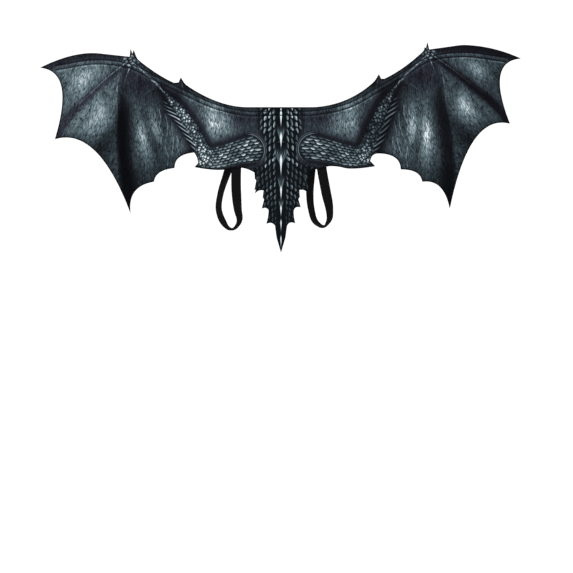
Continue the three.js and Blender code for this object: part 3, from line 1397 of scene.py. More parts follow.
@dataclass(frozen=True)
class WingPrint:
    """The drawn anatomy of the wing, in millimetres of the left wing."""

    membrane: float = 0.44
    patches: tuple[Patch, ...] = (
        Patch(433, 61, -52, 30, 17, 0.28),
        Patch(456, 68, 0, 18, 11, 0.08),
        Patch(398, -22, -73, 34, 20, 0.22),
        Patch(410, -14, -60, 60, 34, 0.03),
        Patch(303, -66, 78, 44, 12, 0.44),
        Patch(277, -40, 74, 28, 9, 0.38),
        Patch(145, -32, 84, 34, 22, 0.41),
        Patch(118, -40, 80, 26, 16, 0.06),
        Patch(290, -20, 85, 120, 52, -0.21),
        Patch(262, -112, 70, 50, 40, -0.1),
        Patch(312, 52, 20, 44, 34, -0.17),
        Patch(331, -205, 90, 75, 32, -0.34),
        Patch(388, -88, -60, 62, 34, -0.3),
        Patch(300, -150, 0, 50, 22, -0.1),
        Patch(84, -28, 0, 36, 22, -0.26),
        Patch(100, -6, -12, 50, 10, -0.14),
        Patch(222, 30, -55, 60, 16, -0.22),
        Patch(219, -46, 57, 62, 10, -0.2),
    )
    ribs: tuple[Rib, ...] = (
        Rib(
            line=((330, 98), (352, 84), (388, 53), (425, 17), (461, -19), (492, -68)),
            outside=10.5,
            inside=9.0,
            root=0.8,
            depth=0.44,
            right_depth=0.78,
            inner_depth=0.55,
            inner_width=1.1,
            purple=1.0,
        ),
        Rib(
            line=(
                (332, 96),
                (342, 70),
                (348, 44),
                (350, -6),
                (350, -64),
                (346, -122),
                (339, -177),
                (329, -232),
            ),
            outside=11.0,
            inside=24.0,
            root=0.36,
            depth=0.95,
            right_depth=0.76,
            inner_depth=0.44,
            inner_width=0.75,
            purple=0.4,
        ),
        Rib(
            line=((318, 110), (360, 113), (404, 112), (460, 105), (526, 87)),
            outside=13.0,
            inside=13.0,
            root=1.0,
            depth=0.52,
            right_depth=0.66,
            inner_depth=0.64,
            inner_width=1.1,
            purple=0.9,
        ),
    )
    lead: tuple[tuple[float, float], ...] = ((120, 6), (180, 32), (240, 60), (300, 98), (330, 108))
    upper_arm: Limb = Limb(
        ((176, -112, 23), (142, -111, 26), (112, -104, 27), (84, -96, 29), (52, -91, 31), (20, -87, 31))
    )
    shoulder: tuple[float, float, float] = (72.0, -95.0, 34.5)
    forearm: Limb = Limb(
        (
            (262, 40, 3),
            (239, 13, 10),
            (219, -10, 15),
            (202, -36, 16),
            (184, -65, 16.5),
            (172, -92, 18),
            (168, -111, 21),
        )
    )
    hairlines: tuple[Hairline, ...] = (
        Hairline(((338, 98), (377, 67), (403, 43), (440, 8)), 1.0, 0.2),
        Hairline(((331, 86), (341, 58), (345, 40)), 1.0, 0.1),
        Hairline(((358, 50), (359, 20), (358, -14), (360, -48)), 0.6, 0.15),
        Hairline(((316, -22), (310, -42), (299, -60)), -0.7, -0.4),
        Hairline(((309, -46), (314, -64)), -0.6, -0.2),
        Hairline(((275, -24), (272, -38), (266, -48)), -0.5, -0.2),
        Hairline(((320, 94), (296, 73), (272, 52), (256, 32)), 0.9, 1.0),
        Hairline(((310, 84), (284, 60), (262, 38)), 0.3, 0.7),
        Hairline(((217, 52), (213, 36), (209, 18)), 0.6, 0.1),
        Hairline(((300, 26), (292, 33), (286, 38), (279, 39)), 0.4, 0.2),
        Hairline(((267, -4), (263, -24), (266, -42), (260, -60), (264, -80)), 0.75, 0.2),
        Hairline(((253, -18), (248, -40), (250, -62), (254, -84), (247, -108), (248, -130)), 0.6, 0.5),
        Hairline(((239, -34), (238, -54), (235, -76), (238, -100)), 0.45, 0.5),
        Hairline(((228, -62), (225, -76), (227, -88), (222, -102)), 0.4, 0.45),
        Hairline(((51, -163), (55, -176), (57, -189)), 0.2, 0.8),
        Hairline(((36, -205), (40, -214), (42, -222)), 0.1, 0.6),
        Hairline(((26, -243), (29, -250), (32, -255)), 0.1, 0.5),
    )
    ridges: tuple[Kite, ...] = (
        Kite(16, -17, -50, 3.1),
        Kite(-50, -65, -96, 3.3),
        Kite(-99, -115, -160, 3.5),
        Kite(-167, -180, -210, 2.8),
        Kite(-210, -221, -245, 2.6),
        Kite(-240, -252, -280, 2.2),
        Kite(-275, -288, -316, 2.2),
    )
    plumes: tuple[Kite, ...] = (
        Kite(-38, -47, -80, 12),
        Kite(-86, -101, -132, 17),
        Kite(-148, -158, -186, 10),
        Kite(-199, -207, -226, 7),
    )
    # Painted light and shade that fall differently on the right wing's outer face, as gains of tone.
    right_light: tuple[Patch, ...] = (
        Patch(440, 30, 0, 110, 130, -0.44),
        Patch(433, 61, -52, 27, 15, 0.24),
        Patch(400, -20, -73, 30, 18, 0.44),
        Patch(288, -55, 80, 95, 48, 0.36),
        Patch(212, -38, 60, 80, 32, -0.52),
        Patch(145, -32, 0, 46, 36, -0.24),
        Patch(110, -105, 0, 70, 28, -0.14),
    )
    inner_light: tuple[Patch, ...] = (
        Patch(285, -30, 82, 70, 46, 0.28),
        Patch(302, 58, 20, 52, 27, -0.5),
        Patch(442, 52, 0, 60, 44, -0.26),
        Patch(436, 66, -30, 26, 18, 0.26),
        Patch(388, -88, -60, 62, 34, 0.62),
        Patch(145, -32, 0, 46, 36, -0.1),
    )
    violets: tuple[Patch, ...] = (
        Patch(316, 58, 20, 52, 34, 0.9),
        Patch(228, 32, -55, 55, 15, 0.9),
        Patch(88, -30, 0, 42, 24, 0.8),
    )
    spine_half: float = 46.0
    spine_waist: float = 10.0
    spine_flare: float = 60.0
    tail_stretch: tuple[float, float] = (-300.0, -120.0)
    column_widths: tuple[float, float] = (6.0, 9.7)
    row_heights: tuple[float, float] = (9.0, 14.8)
    arm_scales: tuple[float, float] = (16.5, 3.5)
    arm_rows: float = 4.4
    hairline_half: float = 2.8
    wrist: Patch = Patch(327, 101, 20, 22, 16, 1.0)

    def layers(self, pattern: Array, edge: Array, seam: Array, ink: PrintInk) -> dict[str, Array]:
        """Work out what the print needs at each place.

        Args:
            pattern: Reach and rise in the print, one row each, the reach signed.
            edge: Distance to the cut edge.
            seam: Painted shade in the casing's stitch grooves and painted highlights beside them, as a gain
                of tone.
            ink: How the face takes the print.

        Returns:
            Named rows of three numbers.
        """
        place = np.c_[np.abs(pattern[:, 0]), pattern[:, 1]]
        reach, rise = place.T
        arm, arm_half, arm_out = self.upper_arm.measure(place)
        cap_reach, cap_rise, cap = self.shoulder
        cap_out = np.hypot(reach - cap_reach, rise - cap_rise) - cap
        arm_out = np.maximum(arm_out, np.where(reach < cap_reach, cap_out, arm_out))
        cap_share = step_up(cap_reach - reach, -4.0, 8.0) * step_up(rise, -132.0, -104.0)
        fore, _, fore_out = self.forearm.measure(place)
        spine_out = self._spine_out(reach, rise)
        limb_out = np.minimum(arm_out, fore_out)
        tone, purple = self._tone(pattern, edge, np.minimum(limb_out, spine_out), ink)
        # worn carries the painted shade and highlights along the seams and the painted light of each wing,
        # with the inner face's print tone.
        worn = self._painted_light_and_tone(pattern, seam, spine_out, ink)
        line, gain = self._nearest_line(place)
        lean = step_up(reach, 290.0, 470.0)
        column = np.interp(rise, self.tail_stretch, self.column_widths)
        share = arm.along / lengths_along(self.upper_arm.path[:, :2])[-1]
        scales, fewer = self.arm_scales
        ridge = np.max([kite.edge(rise) for kite in self.ridges], axis=0)
        plume, plume_share = self._plume(rise)
        fade = 1.0 - 0.65 * step_up(-rise, 140.0, 235.0)
        fade *= 1.0 - 0.62 * step_up(reach, 36.0, 50.0) * step_up(-rise, 110.0, 140.0)
        return {
            "pattern": np.c_[pattern, edge],
            "grain": np.c_[reach + 0.5 * lean * rise, rise, limb_out],
            "shade": np.c_[tone, purple, gain],
            "lines": np.c_[line, np.clip(self.wrist.over(place) * 2.6 - 0.7, 0.0, 1.0), worn],
            "shoulder": np.c_[cap_out, cap_share, plume_share],
            "arm": np.c_[share * (scales - fewer * share), arm.offset / arm_half * self.arm_rows, arm_out],
            "forearm": np.c_[fore.along, fore.offset, fore_out],
            "spine": np.c_[pattern[:, 0] / column, self._rows(rise), spine_out],
            "ridge": np.c_[np.maximum(ridge, -4.0), plume, fade],
        }

    def _painted_light_and_tone(self, pattern: Array, seam: Array, spine_out: Array, ink: PrintInk) -> Array:
        """Work out the painted shade and highlights along the seams, the painted light and shade of each wing
        on the outer face, and the inner face's own print tone.

        Args:
            pattern: Reach and rise in the print, the reach signed.
            seam: Painted shade in the stitch grooves along the casing's seams and painted highlights beside
                them, as a gain of tone.
            spine_out: Distance outside the scaled back.
            ink: How the face takes the print.

        Returns:
            The gain of tone in all.
        """
        place = np.c_[np.abs(pattern[:, 0]), pattern[:, 1]]
        # rubbed is the painted highlight beside the stitch rows, fainter on the scaled back; the rest of seam
        # is painted shade in the stitch grooves.
        seam_highlight = np.maximum(seam, 0.0) * (1.0 - 0.8 * step_up(-spine_out, -4.0, 6.0))
        worn = (np.minimum(seam, 0.0) + seam_highlight) * ink.shade_and_highlight
        # right is painted light and shade that fall differently on the right wing's outer face.
        right = np.sum([patch.over(place) for patch in self.right_light], axis=0)
        inner = np.sum([patch.over(place) for patch in self.inner_light], axis=0)
        worn = worn + np.where(pattern[:, 0] > 0.0, right * ink.uneven, 0.0)
        return worn + inner * (1.0 - ink.uneven)

    def _spine_out(self, reach: Array, rise: Array) -> Array:
        """Find how far outside the scaled back and tail places are.

        Args:
            reach: Distances from the middle of the back.
            rise: Heights in the print.

        Returns:
            The distances, less than 0 on the back.
        """
        waist = self.spine_waist * step_up(-rise, 45.0, 75.0)
        flare = self.spine_flare * step_up(-rise, 122.0, 150.0)
        return reach - (self.spine_half - waist + flare)

    def _rows(self, rise: Array) -> Array:
        """Count the rows of long scales, which lie closer together on the tail.

        Args:
            rise: Heights in the print.

        Returns:
            The rows from above the neck down to each height.
        """
        heights = np.linspace(20.0, -330.0, 200)
        pitch = np.interp(heights, self.tail_stretch, self.row_heights)
        count = np.concatenate([[0.0], np.cumsum(-np.diff(heights) / pitch[1:])])
        return np.interp(-rise, -heights, count)

    def _plume(self, rise: Array) -> tuple[Array, Array]:
        """Measure heights against the plumes that narrow down to each ridge.

        Args:
            rise: Heights in the print.

        Returns:
            The plume's half width, and the share of the way down it.
        """
        width = np.full(len(rise), 1.0)
        share = np.full(len(rise), -0.2)
        for kite in self.plumes:
            down = (kite.top - rise) / (kite.top - kite.bottom)
            near = (down > -0.2) & (down < 1.0)
            narrow = np.clip((rise - kite.bottom) / (kite.widest - kite.bottom), 0.0, 1.0)
            width = np.where(near, np.maximum(kite.half * narrow, 1.0), width)
            share = np.where(near, down, share)
        return width, share

    def _nearest_line(self, place: Array) -> tuple[Array, Array]:
        """Measure places against the nearest hairline.

        Args:
            place: Reach and rise in the print, one row each.

        Returns:
            The offset from it, and its gain there.
        """
        best = np.full(len(place), 50.0)
        gain = np.zeros(len(place))
        for hair in self.hairlines:
            line = smooth_line(hair.line, 6)
            found = beside(place, line)
            share = found.along / lengths_along(line)[-1]
            nearer = found.distance < np.abs(best)
            best = np.where(nearer, found.offset, best)
            shown = (found.distance < self.hairline_half) & (share > 0.0) & (share < 1.0)
            own = np.where(shown, hair.start + (hair.end - hair.start) * share, 0.0)
            gain = np.where(nearer, own, gain)
        return best, gain

    def _tone(self, pattern: Array, edge: Array, out: Array, ink: PrintInk) -> tuple[Array, Array]:
        """Soft tone of the membrane and its share of purple.

        Args:
            pattern: Reach and rise in the print, the reach signed.
            edge: Distance to the cut edge.
            out: Distance outside the scaled limbs and back.
            ink: How the face takes the print.

        Returns:
            The tone and the purple, 0 to 1.
        """
        place = np.c_[np.abs(pattern[:, 0]), pattern[:, 1]]
        tone = np.full(len(place), self.membrane + ink.lift)
        for patch in self.patches:
            tone += patch.over(place) * (ink.glow if patch.gain > 0.0 else ink.shadow)
        purple = np.max([patch.over(place) for patch in self.violets], axis=0)
        for rib in self.ribs:
            shown = rib.over(place, ink.uneven)
            tone *= 1.0 - rib.depths(pattern[:, 0], ink.uneven) * shown
            purple = np.maximum(purple, rib.purple * shown)
        halo = np.exp(-np.maximum(out - 4.0, 0.0) / ink.halo)
        tone *= 1.0 - ink.surround * halo
        purple = np.maximum(purple, 0.8 * halo * step_up(out, -3.0, 2.0))
        lead = beside(place, smooth_line(self.lead, 6)).distance
        tone *= 1.0 - 0.35 * bell(lead, 12.0)
        tone *= 1.0 - 0.42 * np.exp(-edge / 9.0)
        return np.clip(tone, 0.02, 1.0), purple


class Shaper:
    """Makes mesh pieces and hands them to the frame."""

    @staticmethod
    def from_arrays(name: str, points: Array, faces: Sequence[Sequence[int]]) -> bpy.types.Object:
        """Make an object from points in millimetres and faces.

        Args:
            name: The piece's name.
            points: One row each.
            faces: The indices of each face's corners.

        Returns:
            The object, linked to the scene.
        """
        mesh = bpy.data.meshes.new(name)
        mesh.from_pydata((points * MM).tolist(), [], faces)
        mesh.validate()
        piece = bpy.data.objects.new(name, mesh)
        bpy.context.collection.objects.link(piece)
        return piece

    @staticmethod
    def grid(name: str, across: int, along: int) -> bpy.types.Object:
        """Add a flat grid of one unit, with its flat coordinates.

        Args:
            name: The piece's name.
            across: Its cells along X.
            along: Its cells along Y.

        Returns:
            The object.
        """
        bpy.ops.object.select_all(action="DESELECT")
        bpy.ops.mesh.primitive_grid_add(x_subdivisions=across, y_subdivisions=along, size=1.0)
        piece = bpy.context.active_object
        piece.name = piece.data.name = name
        return piece

    @staticmethod
    def only(piece: bpy.types.Object) -> None:
        """Select one piece alone and make it active.

        Args:
            piece: The piece.
        """
        bpy.ops.object.select_all(action="DESELECT")
        piece.select_set(True)
        bpy.context.view_layer.objects.active = piece

    @staticmethod
    def modify(piece: bpy.types.Object, kind: str, **settings: Any) -> None:
        """Add a modifier and apply it.

        Args:
            piece: The piece.
            kind: The modifier's type.
            settings: Its properties.
        """
        Shaper.only(piece)
        modifier = piece.modifiers.new(kind.lower(), kind)
        for key, value in settings.items():
            setattr(modifier, key, value)
        bpy.ops.object.modifier_apply(modifier=modifier.name)

    @staticmethod
    def smooth(piece: bpy.types.Object, degrees: float) -> None:
        """Shade a piece smooth, except over edges sharper than an angle."""
        Shaper.only(piece)
        bpy.ops.object.shade_smooth_by_angle(angle=math.radians(degrees))

    @staticmethod
    def hand_over(piece: bpy.types.Object, node: str, slot: str) -> None:
        """Let a piece ride on the part and hide the CAD node that it stands for.

        Args:
            piece: The piece.
            node: The node.
            slot: Not used.
        """
        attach(piece, "root")
        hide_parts(node)
        LOG.info("%s: %d faces", piece.name, len(piece.data.polygons))


@dataclass
class WireCasing:
    """The tape sewn over the wire along the top edge, on the inner face."""

    form: FeltForm
    width: float = 12.0
    gap: float = 0.2
    seam: float = 0.55
    bulge: float = 3.0
    wire_half: float = 2.7
    cloth: float = 0.35
    row: float = 4.7
    pitch: float = 4.2
    groove: float = 0.9
    stitch_half: float = 0.8
    pressed: float = 0.16
    pucker: float = 0.1
    closing: float = 0.012
    columns: int = 18
    rows_to_step: int = 3
    line: Array = field(init=False)

    def __post_init__(self) -> None:
        """Read the casing's middle line from its CAD solid."""
        path = BandPath("wire_casing", way=(-1.0, 0.0, 0.0), reach=6.0, steps=4)
        self.line = even_line(path.centres[:, [0, 2]], gap=3.0)

    def ways(self) -> Array:
        """Directions of the middle line at its points."""
        return unit_rows(np.gradient(self.line, axis=0))

    def beside_line(self, offset: float) -> Array:
        """A line that runs beside the middle line, offset upwards."""
        way = self.ways()
        return self.line + np.c_[-way[:, 1], way[:, 0]] * offset

    def height(self, across: Array, share: Array) -> Array:
        """Find how high the tape stands off the felt.

        Args:
            across: Offset from its middle line.
            share: Share of the way along it.

        Returns:
            The height of its outer side.
        """
        closed = step_up(share, 0.0, self.closing) * step_up(1.0 - share, 0.0, self.closing)
        over = np.exp(-(np.abs(across / self.wire_half) ** 2.6))
        along = share * lengths_along(self.line)[-1]
        stitch = bell(np.abs(across) - self.row, self.stitch_half)
        pucker = self.pucker * np.sin(along * math.tau / self.pitch) - self.pressed
        return self.gap + self.seam + (self.bulge - self.seam) * over * closed + stitch * pucker

    def build(self, finish: bpy.types.Material) -> bpy.types.Object:
        """Lay the tape along its line.

        Args:
            finish: Its material.

        Returns:
            The tape.
        """
        rows = self.rows_to_step * (len(self.line) - 1)
        tape = Shaper.grid("casing_tape", self.columns, rows)
        across, share, _ = (mesh_points(tape.data) + 0.5).T
        across = (across - 0.5) * self.width
        along = lengths_along(self.line)
        middle = read_off(self.line, along, share * along[-1])
        ahead = read_off(self.ways(), along, share * along[-1])
        place = middle + np.c_[-ahead[:, 1], ahead[:, 0]] * across[:, None]
        y = self.form.inner_depth(place) + self.height(across, share)
        points = np.c_[place[:, 0], y, place[:, 1]] * MM
        tape.data.vertices.foreach_set("co", points.ravel())
        tape.data.flip_normals()
        Shaper.modify(tape, "SOLIDIFY", thickness=self.cloth * MM, offset=-1.0)
        Shaper.smooth(tape, degrees=50.0)
        tape.data.materials.append(finish)
        Shaper.hand_over(tape, "wire_casing", "black_tape")
        return tape


@dataclass
class ArmStrap:
    """An elastic loop: its upper end over the casing, its lower end on the panel's lower edge."""

    side: Side
    width: float = 21.4
    thickness: float = 1.2
    crown: float = 0.35
    curl: float = 4.0
    curl_length: float = 26.0
    rounding: float = 0.35
    columns: int = 14
    path: BandPath = field(init=False)

    def __post_init__(self) -> None:
        """Read the loop's path from its CAD solid."""
        self.path = BandPath(self.node, way=(0.0, 0.0, 1.0), reach=4.0, steps=5)
        self.path.turn_over(towards=(0.0, 1.0, 0.0))

    @property
    def node(self) -> str:
        """Name of its CAD node."""
        return f"arm_strap_{self.side.name.lower()}"

    def crowns(self) -> Array:
        """Find how far the band's middle bows out, most where the band turns over.

        Returns:
            The bow at each ring.
        """
        along = lengths_along(self.path.centres)
        turned = along[int(np.argmax(self.path.faces[:, 1] < 0.0))]
        return self.crown + self.curl * bell(along - turned, self.curl_length)

    def build(self, finish: bpy.types.Material) -> bpy.types.Object:
        """Lay the band along its path.

        Args:
            finish: Its material.

        Returns:
            The loop.
        """
        rows = len(self.path.centres) - 1
        band = Shaper.grid(f"elastic_{self.side.name.lower()}", self.columns, rows)
        across, share, _ = mesh_points(band.data).T
        ring = np.rint((share + 0.5) * rows).astype(int)
        crown = self.crowns()[ring] * (0.5 - (2.0 * across) ** 2)
        points = (
            self.path.centres[ring]
            + self.path.acrosses[ring] * (across * self.width)[:, None]
            + self.path.faces[ring] * crown[:, None]
        )
        band.data.vertices.foreach_set("co", (points * MM).ravel())
        Shaper.modify(band, "SOLIDIFY", thickness=self.thickness * MM, offset=0.0)
        Shaper.modify(band, "BEVEL", width=self.rounding * MM, segments=2, limit_method="ANGLE")
        Shaper.smooth(band, degrees=50.0)
        band.data.materials.append(finish)
        Shaper.hand_over(band, self.node, "black_elastic")
        return band


@dataclass
class WingPanel:
    """The printed felt: one cut for both wings, the back and the tail."""

    form: FeltForm
    casing: WireCasing
    drawing: WingPrint = WingPrint()
    mesh_gap: float = 2.6
    edge_gap: float = 2.0
    shortest: float = 0.6
    corner: float = 24.0
    rounds: int = 10
    half_rows: tuple[float, ...] = (1.6, 3.1, 3.9, 4.7, 5.5, 6.3, 7.6)
    row_gap: float = 2.2
    row_clear: float = 8.6
    edge_clear: float = 0.55
    puff: float = 1.0
    puff_half: float = 2.6
    groove_half: float = 1.1
    pucker: float = 0.16
    pucker_offset: float = 7.0
    pucker_half: float = 3.2
    # pressed paints shade into the casing's stitch grooves, and rubbed paints highlights on the felt beside
    # them.
    pressed: float = 0.7
    groove_shade_half: float = 1.3
    seam_highlight: float = 0.4
    seam_highlight_offsets: tuple[float, ...] = (-7.4, 2.2)
    seam_highlight_half: float = 1.5
    rim_bulge: float = 0.2
    loop: Array = field(init=False)
    places: Array = field(init=False)
    pattern: Array = field(init=False)
    edge: Beside = field(init=False)
    beside_casing: Beside = field(init=False)

    def cut_edge(self) -> Array:
        """Round the straight steps of the CAD solid's edge, and keep its points sharp.

        Returns:
            The closed loop in X and Z.
        """
        loop = MergedNode("wing_panel").outer_loop()
        kept = [loop[0]]
        for point in loop[1:]:
            if np.hypot(*(point - kept[-1])) > self.shortest:
                kept.append(point)
        loop = np.array(kept)
        before, after = loop - np.roll(loop, 1, axis=0), np.roll(loop, -1, axis=0) - loop
        turn = np.arctan2(
            before[:, 0] * after[:, 1] - before[:, 1] * after[:, 0], (before * after).sum(axis=1)
        )
        corners = np.flatnonzero(np.abs(turn) > math.radians(self.corner))
        stretches = []
        for start, end in zip(corners, np.roll(corners, -1)):
            count = (end - start) % len(loop)
            stretch = loop[(start + np.arange(count + 1)) % len(loop)]
            stretch = even_line(stretch, self.edge_gap)
            for _ in range(self.rounds):
                middle = (stretch[:-2] + 2 * stretch[1:-1] + stretch[2:]) / 4
                stretch = np.vstack([stretch[:1], middle, stretch[-1:]])
            stretches.append(stretch[:-1])
        return np.vstack(stretches)

    def lay_out(self) -> list[tuple[int, int, int]]:
        """Fill the cut with even triangles, closer along the casing's stitches.

        Returns:
            The triangles of the outer face.
        """
        self.loop = self.cut_edge()
        low, high = self.loop.min(axis=0), self.loop.max(axis=0)
        step = self.mesh_gap * math.sqrt(0.75)
        heights = np.arange(low[1], high[1], step)
        reaches = np.arange(low[0], high[0], self.mesh_gap)
        x, z = np.meshgrid(reaches, heights)
        x[1::2] += self.mesh_gap / 2
        even = np.c_[x.ravel(), z.ravel()]
        even = even[beside(even, self.casing.line).distance > self.row_clear]
        rows = (0.0, *self.half_rows, *(-row for row in self.half_rows))
        sewn = [even_line(self.casing.beside_line(row), self.row_gap) for row in rows]
        free = np.vstack([even, *sewn])
        free = free[inside(free, self.loop)]
        closed = np.vstack([self.loop, self.loop[:1]])
        free = free[beside(free, closed).distance > self.edge_clear * self.mesh_gap]
        flat = [Vector(point) for point in np.vstack([self.loop, free]).tolist()]
        cut = [list(range(len(self.loop)))]
        points, _, faces, *_ = delaunay_2d_cdt(flat, [], cut, 1, 1e-4)
        self.places = np.array([tuple(point) for point in points])
        self.pattern = pattern_places(self.places)
        self.edge = beside(self.places, closed)
        self.beside_casing = beside(self.places, self.casing.line)
        return [tuple(face) for face in faces]

    def depths(self, face: Face) -> Array:
        """Find the Y of one face, with its slack and the relief of the seams.

        Args:
            face: Which face.

        Returns:
            Y in millimetres.
        """
        depth = self.form.inner_depth(self.places)
        clear = step_up(self.beside_casing.distance, 9.0, 34.0)
        depth += self.form.slack(self.pattern, self.edge) * clear
        if face is Face.INNER:
            return depth
        offset = np.abs(self.beside_casing.offset)
        puff = self.puff * bell(offset, self.puff_half)
        groove = self.casing.groove * bell(offset - self.casing.row, self.groove_half)
        pucker = np.sin(self.beside_casing.along * math.tau / (2.0 * self.casing.pitch))
        pucker *= self.pucker * bell(offset - self.pucker_offset, self.pucker_half)
        return depth - self.form.thickness - puff + groove + pucker

    def build(self, inks: dict[Face, PrintInk], cut: CutFelt) -> bpy.types.Object:
        """Make the panel with both its faces and its cut edge.

        Args:
            inks: The print of each face.
            cut: The finish of the cut edge.

        Returns:
            The panel.
        """
        front = self.lay_out()
        count = len(self.places)
        border = border_edges(np.array(front))
        outer, inner = self.depths(Face.OUTER), self.depths(Face.INNER)
        middle = self._rim_middle(border, (outer + inner) / 2)
        rim = {p: 2 * count + index for index, (p, _) in enumerate(border)}
        points = np.vstack(
            [
                np.c_[self.places[:, 0], outer, self.places[:, 1]],
                np.c_[self.places[:, 0], inner, self.places[:, 1]],
                middle,
            ]
        )
        faces: list[Sequence[int]] = list(front)
        faces += [(c + count, b + count, a + count) for a, b, c in front]
        for p, q in border:
            faces.append((q, p, rim[p], rim[q]))
            faces.append((rim[q], rim[p], p + count, q + count))
        panel = Shaper.from_arrays("felt_panel", points, faces)
        self._write_layers(panel, inks, [p for p, _ in border])
        for face in Face:
            panel.data.materials.append(inks[face].material())
        panel.data.materials.append(cut.material())
        slots = np.full(len(faces), 2, np.int32)
        slots[: len(front)] = 0
        slots[len(front) : 2 * len(front)] = 1
        panel.data.polygons.foreach_set("material_index", slots)
        Shaper.smooth(panel, degrees=40.0)
        Shaper.hand_over(panel, "wing_panel", "printed_felt")
        return panel

    def _rim_middle(self, border: list[tuple[int, int]], depth: Array) -> Array:
        """Place the points half way through the felt's cut edge, which swells a little.

        Args:
            border: The cut edge, from point to point.
            depth: Y half way through the felt at each point.

        Returns:
            A point to each edge.
        """
        after = dict(border)
        before = {q: p for p, q in border}
        rows = []
        for p, _ in border:
            way = self.places[after[p]] - self.places[before[p]]
            way = way / max(float(np.hypot(*way)), 1e-6)
            out = self.places[p] + np.array([way[1], -way[0]]) * self.rim_bulge
            rows.append((out[0], depth[p], out[1]))
        return np.array(rows)

    def _write_layers(self, panel: bpy.types.Object, inks: dict[Face, PrintInk], rim: list[int]) -> None:
        """Store on the mesh what the print needs, for both faces and the rim between them.

        Args:
            panel: The panel.
            inks: The print of each face.
            rim: The outer face's point beside each point of the rim.
        """
        offset = self.beside_casing.offset
        # pressed is painted shade in the stitch grooves; humps are painted highlights beside them.
        pressed = -self.pressed * bell(np.abs(offset) - self.casing.row, self.groove_shade_half)
        seam_highlight_bands = [bell(offset - place, self.seam_highlight_half) for place in self.seam_highlight_offsets]
        seam = pressed + self.seam_highlight * sum(seam_highlight_bands)
        faces = [self.drawing.layers(self.pattern, self.edge.distance, seam, inks[face]) for face in Face]
        for name, outer in faces[Face.OUTER.value].items():
            rows = np.vstack([outer, faces[Face.INNER.value][name], outer[rim]])
            layer = panel.data.attributes.new(name, "FLOAT_VECTOR", "POINT")
            layer.data.foreach_set("vector", rows.astype(np.float32).ravel())


class StitchRow(NamedTuple):
    """The middles of a row's stitches, the ways that they run and the ways that they stand out."""

    places: Array
    ways: Array
    outs: Array


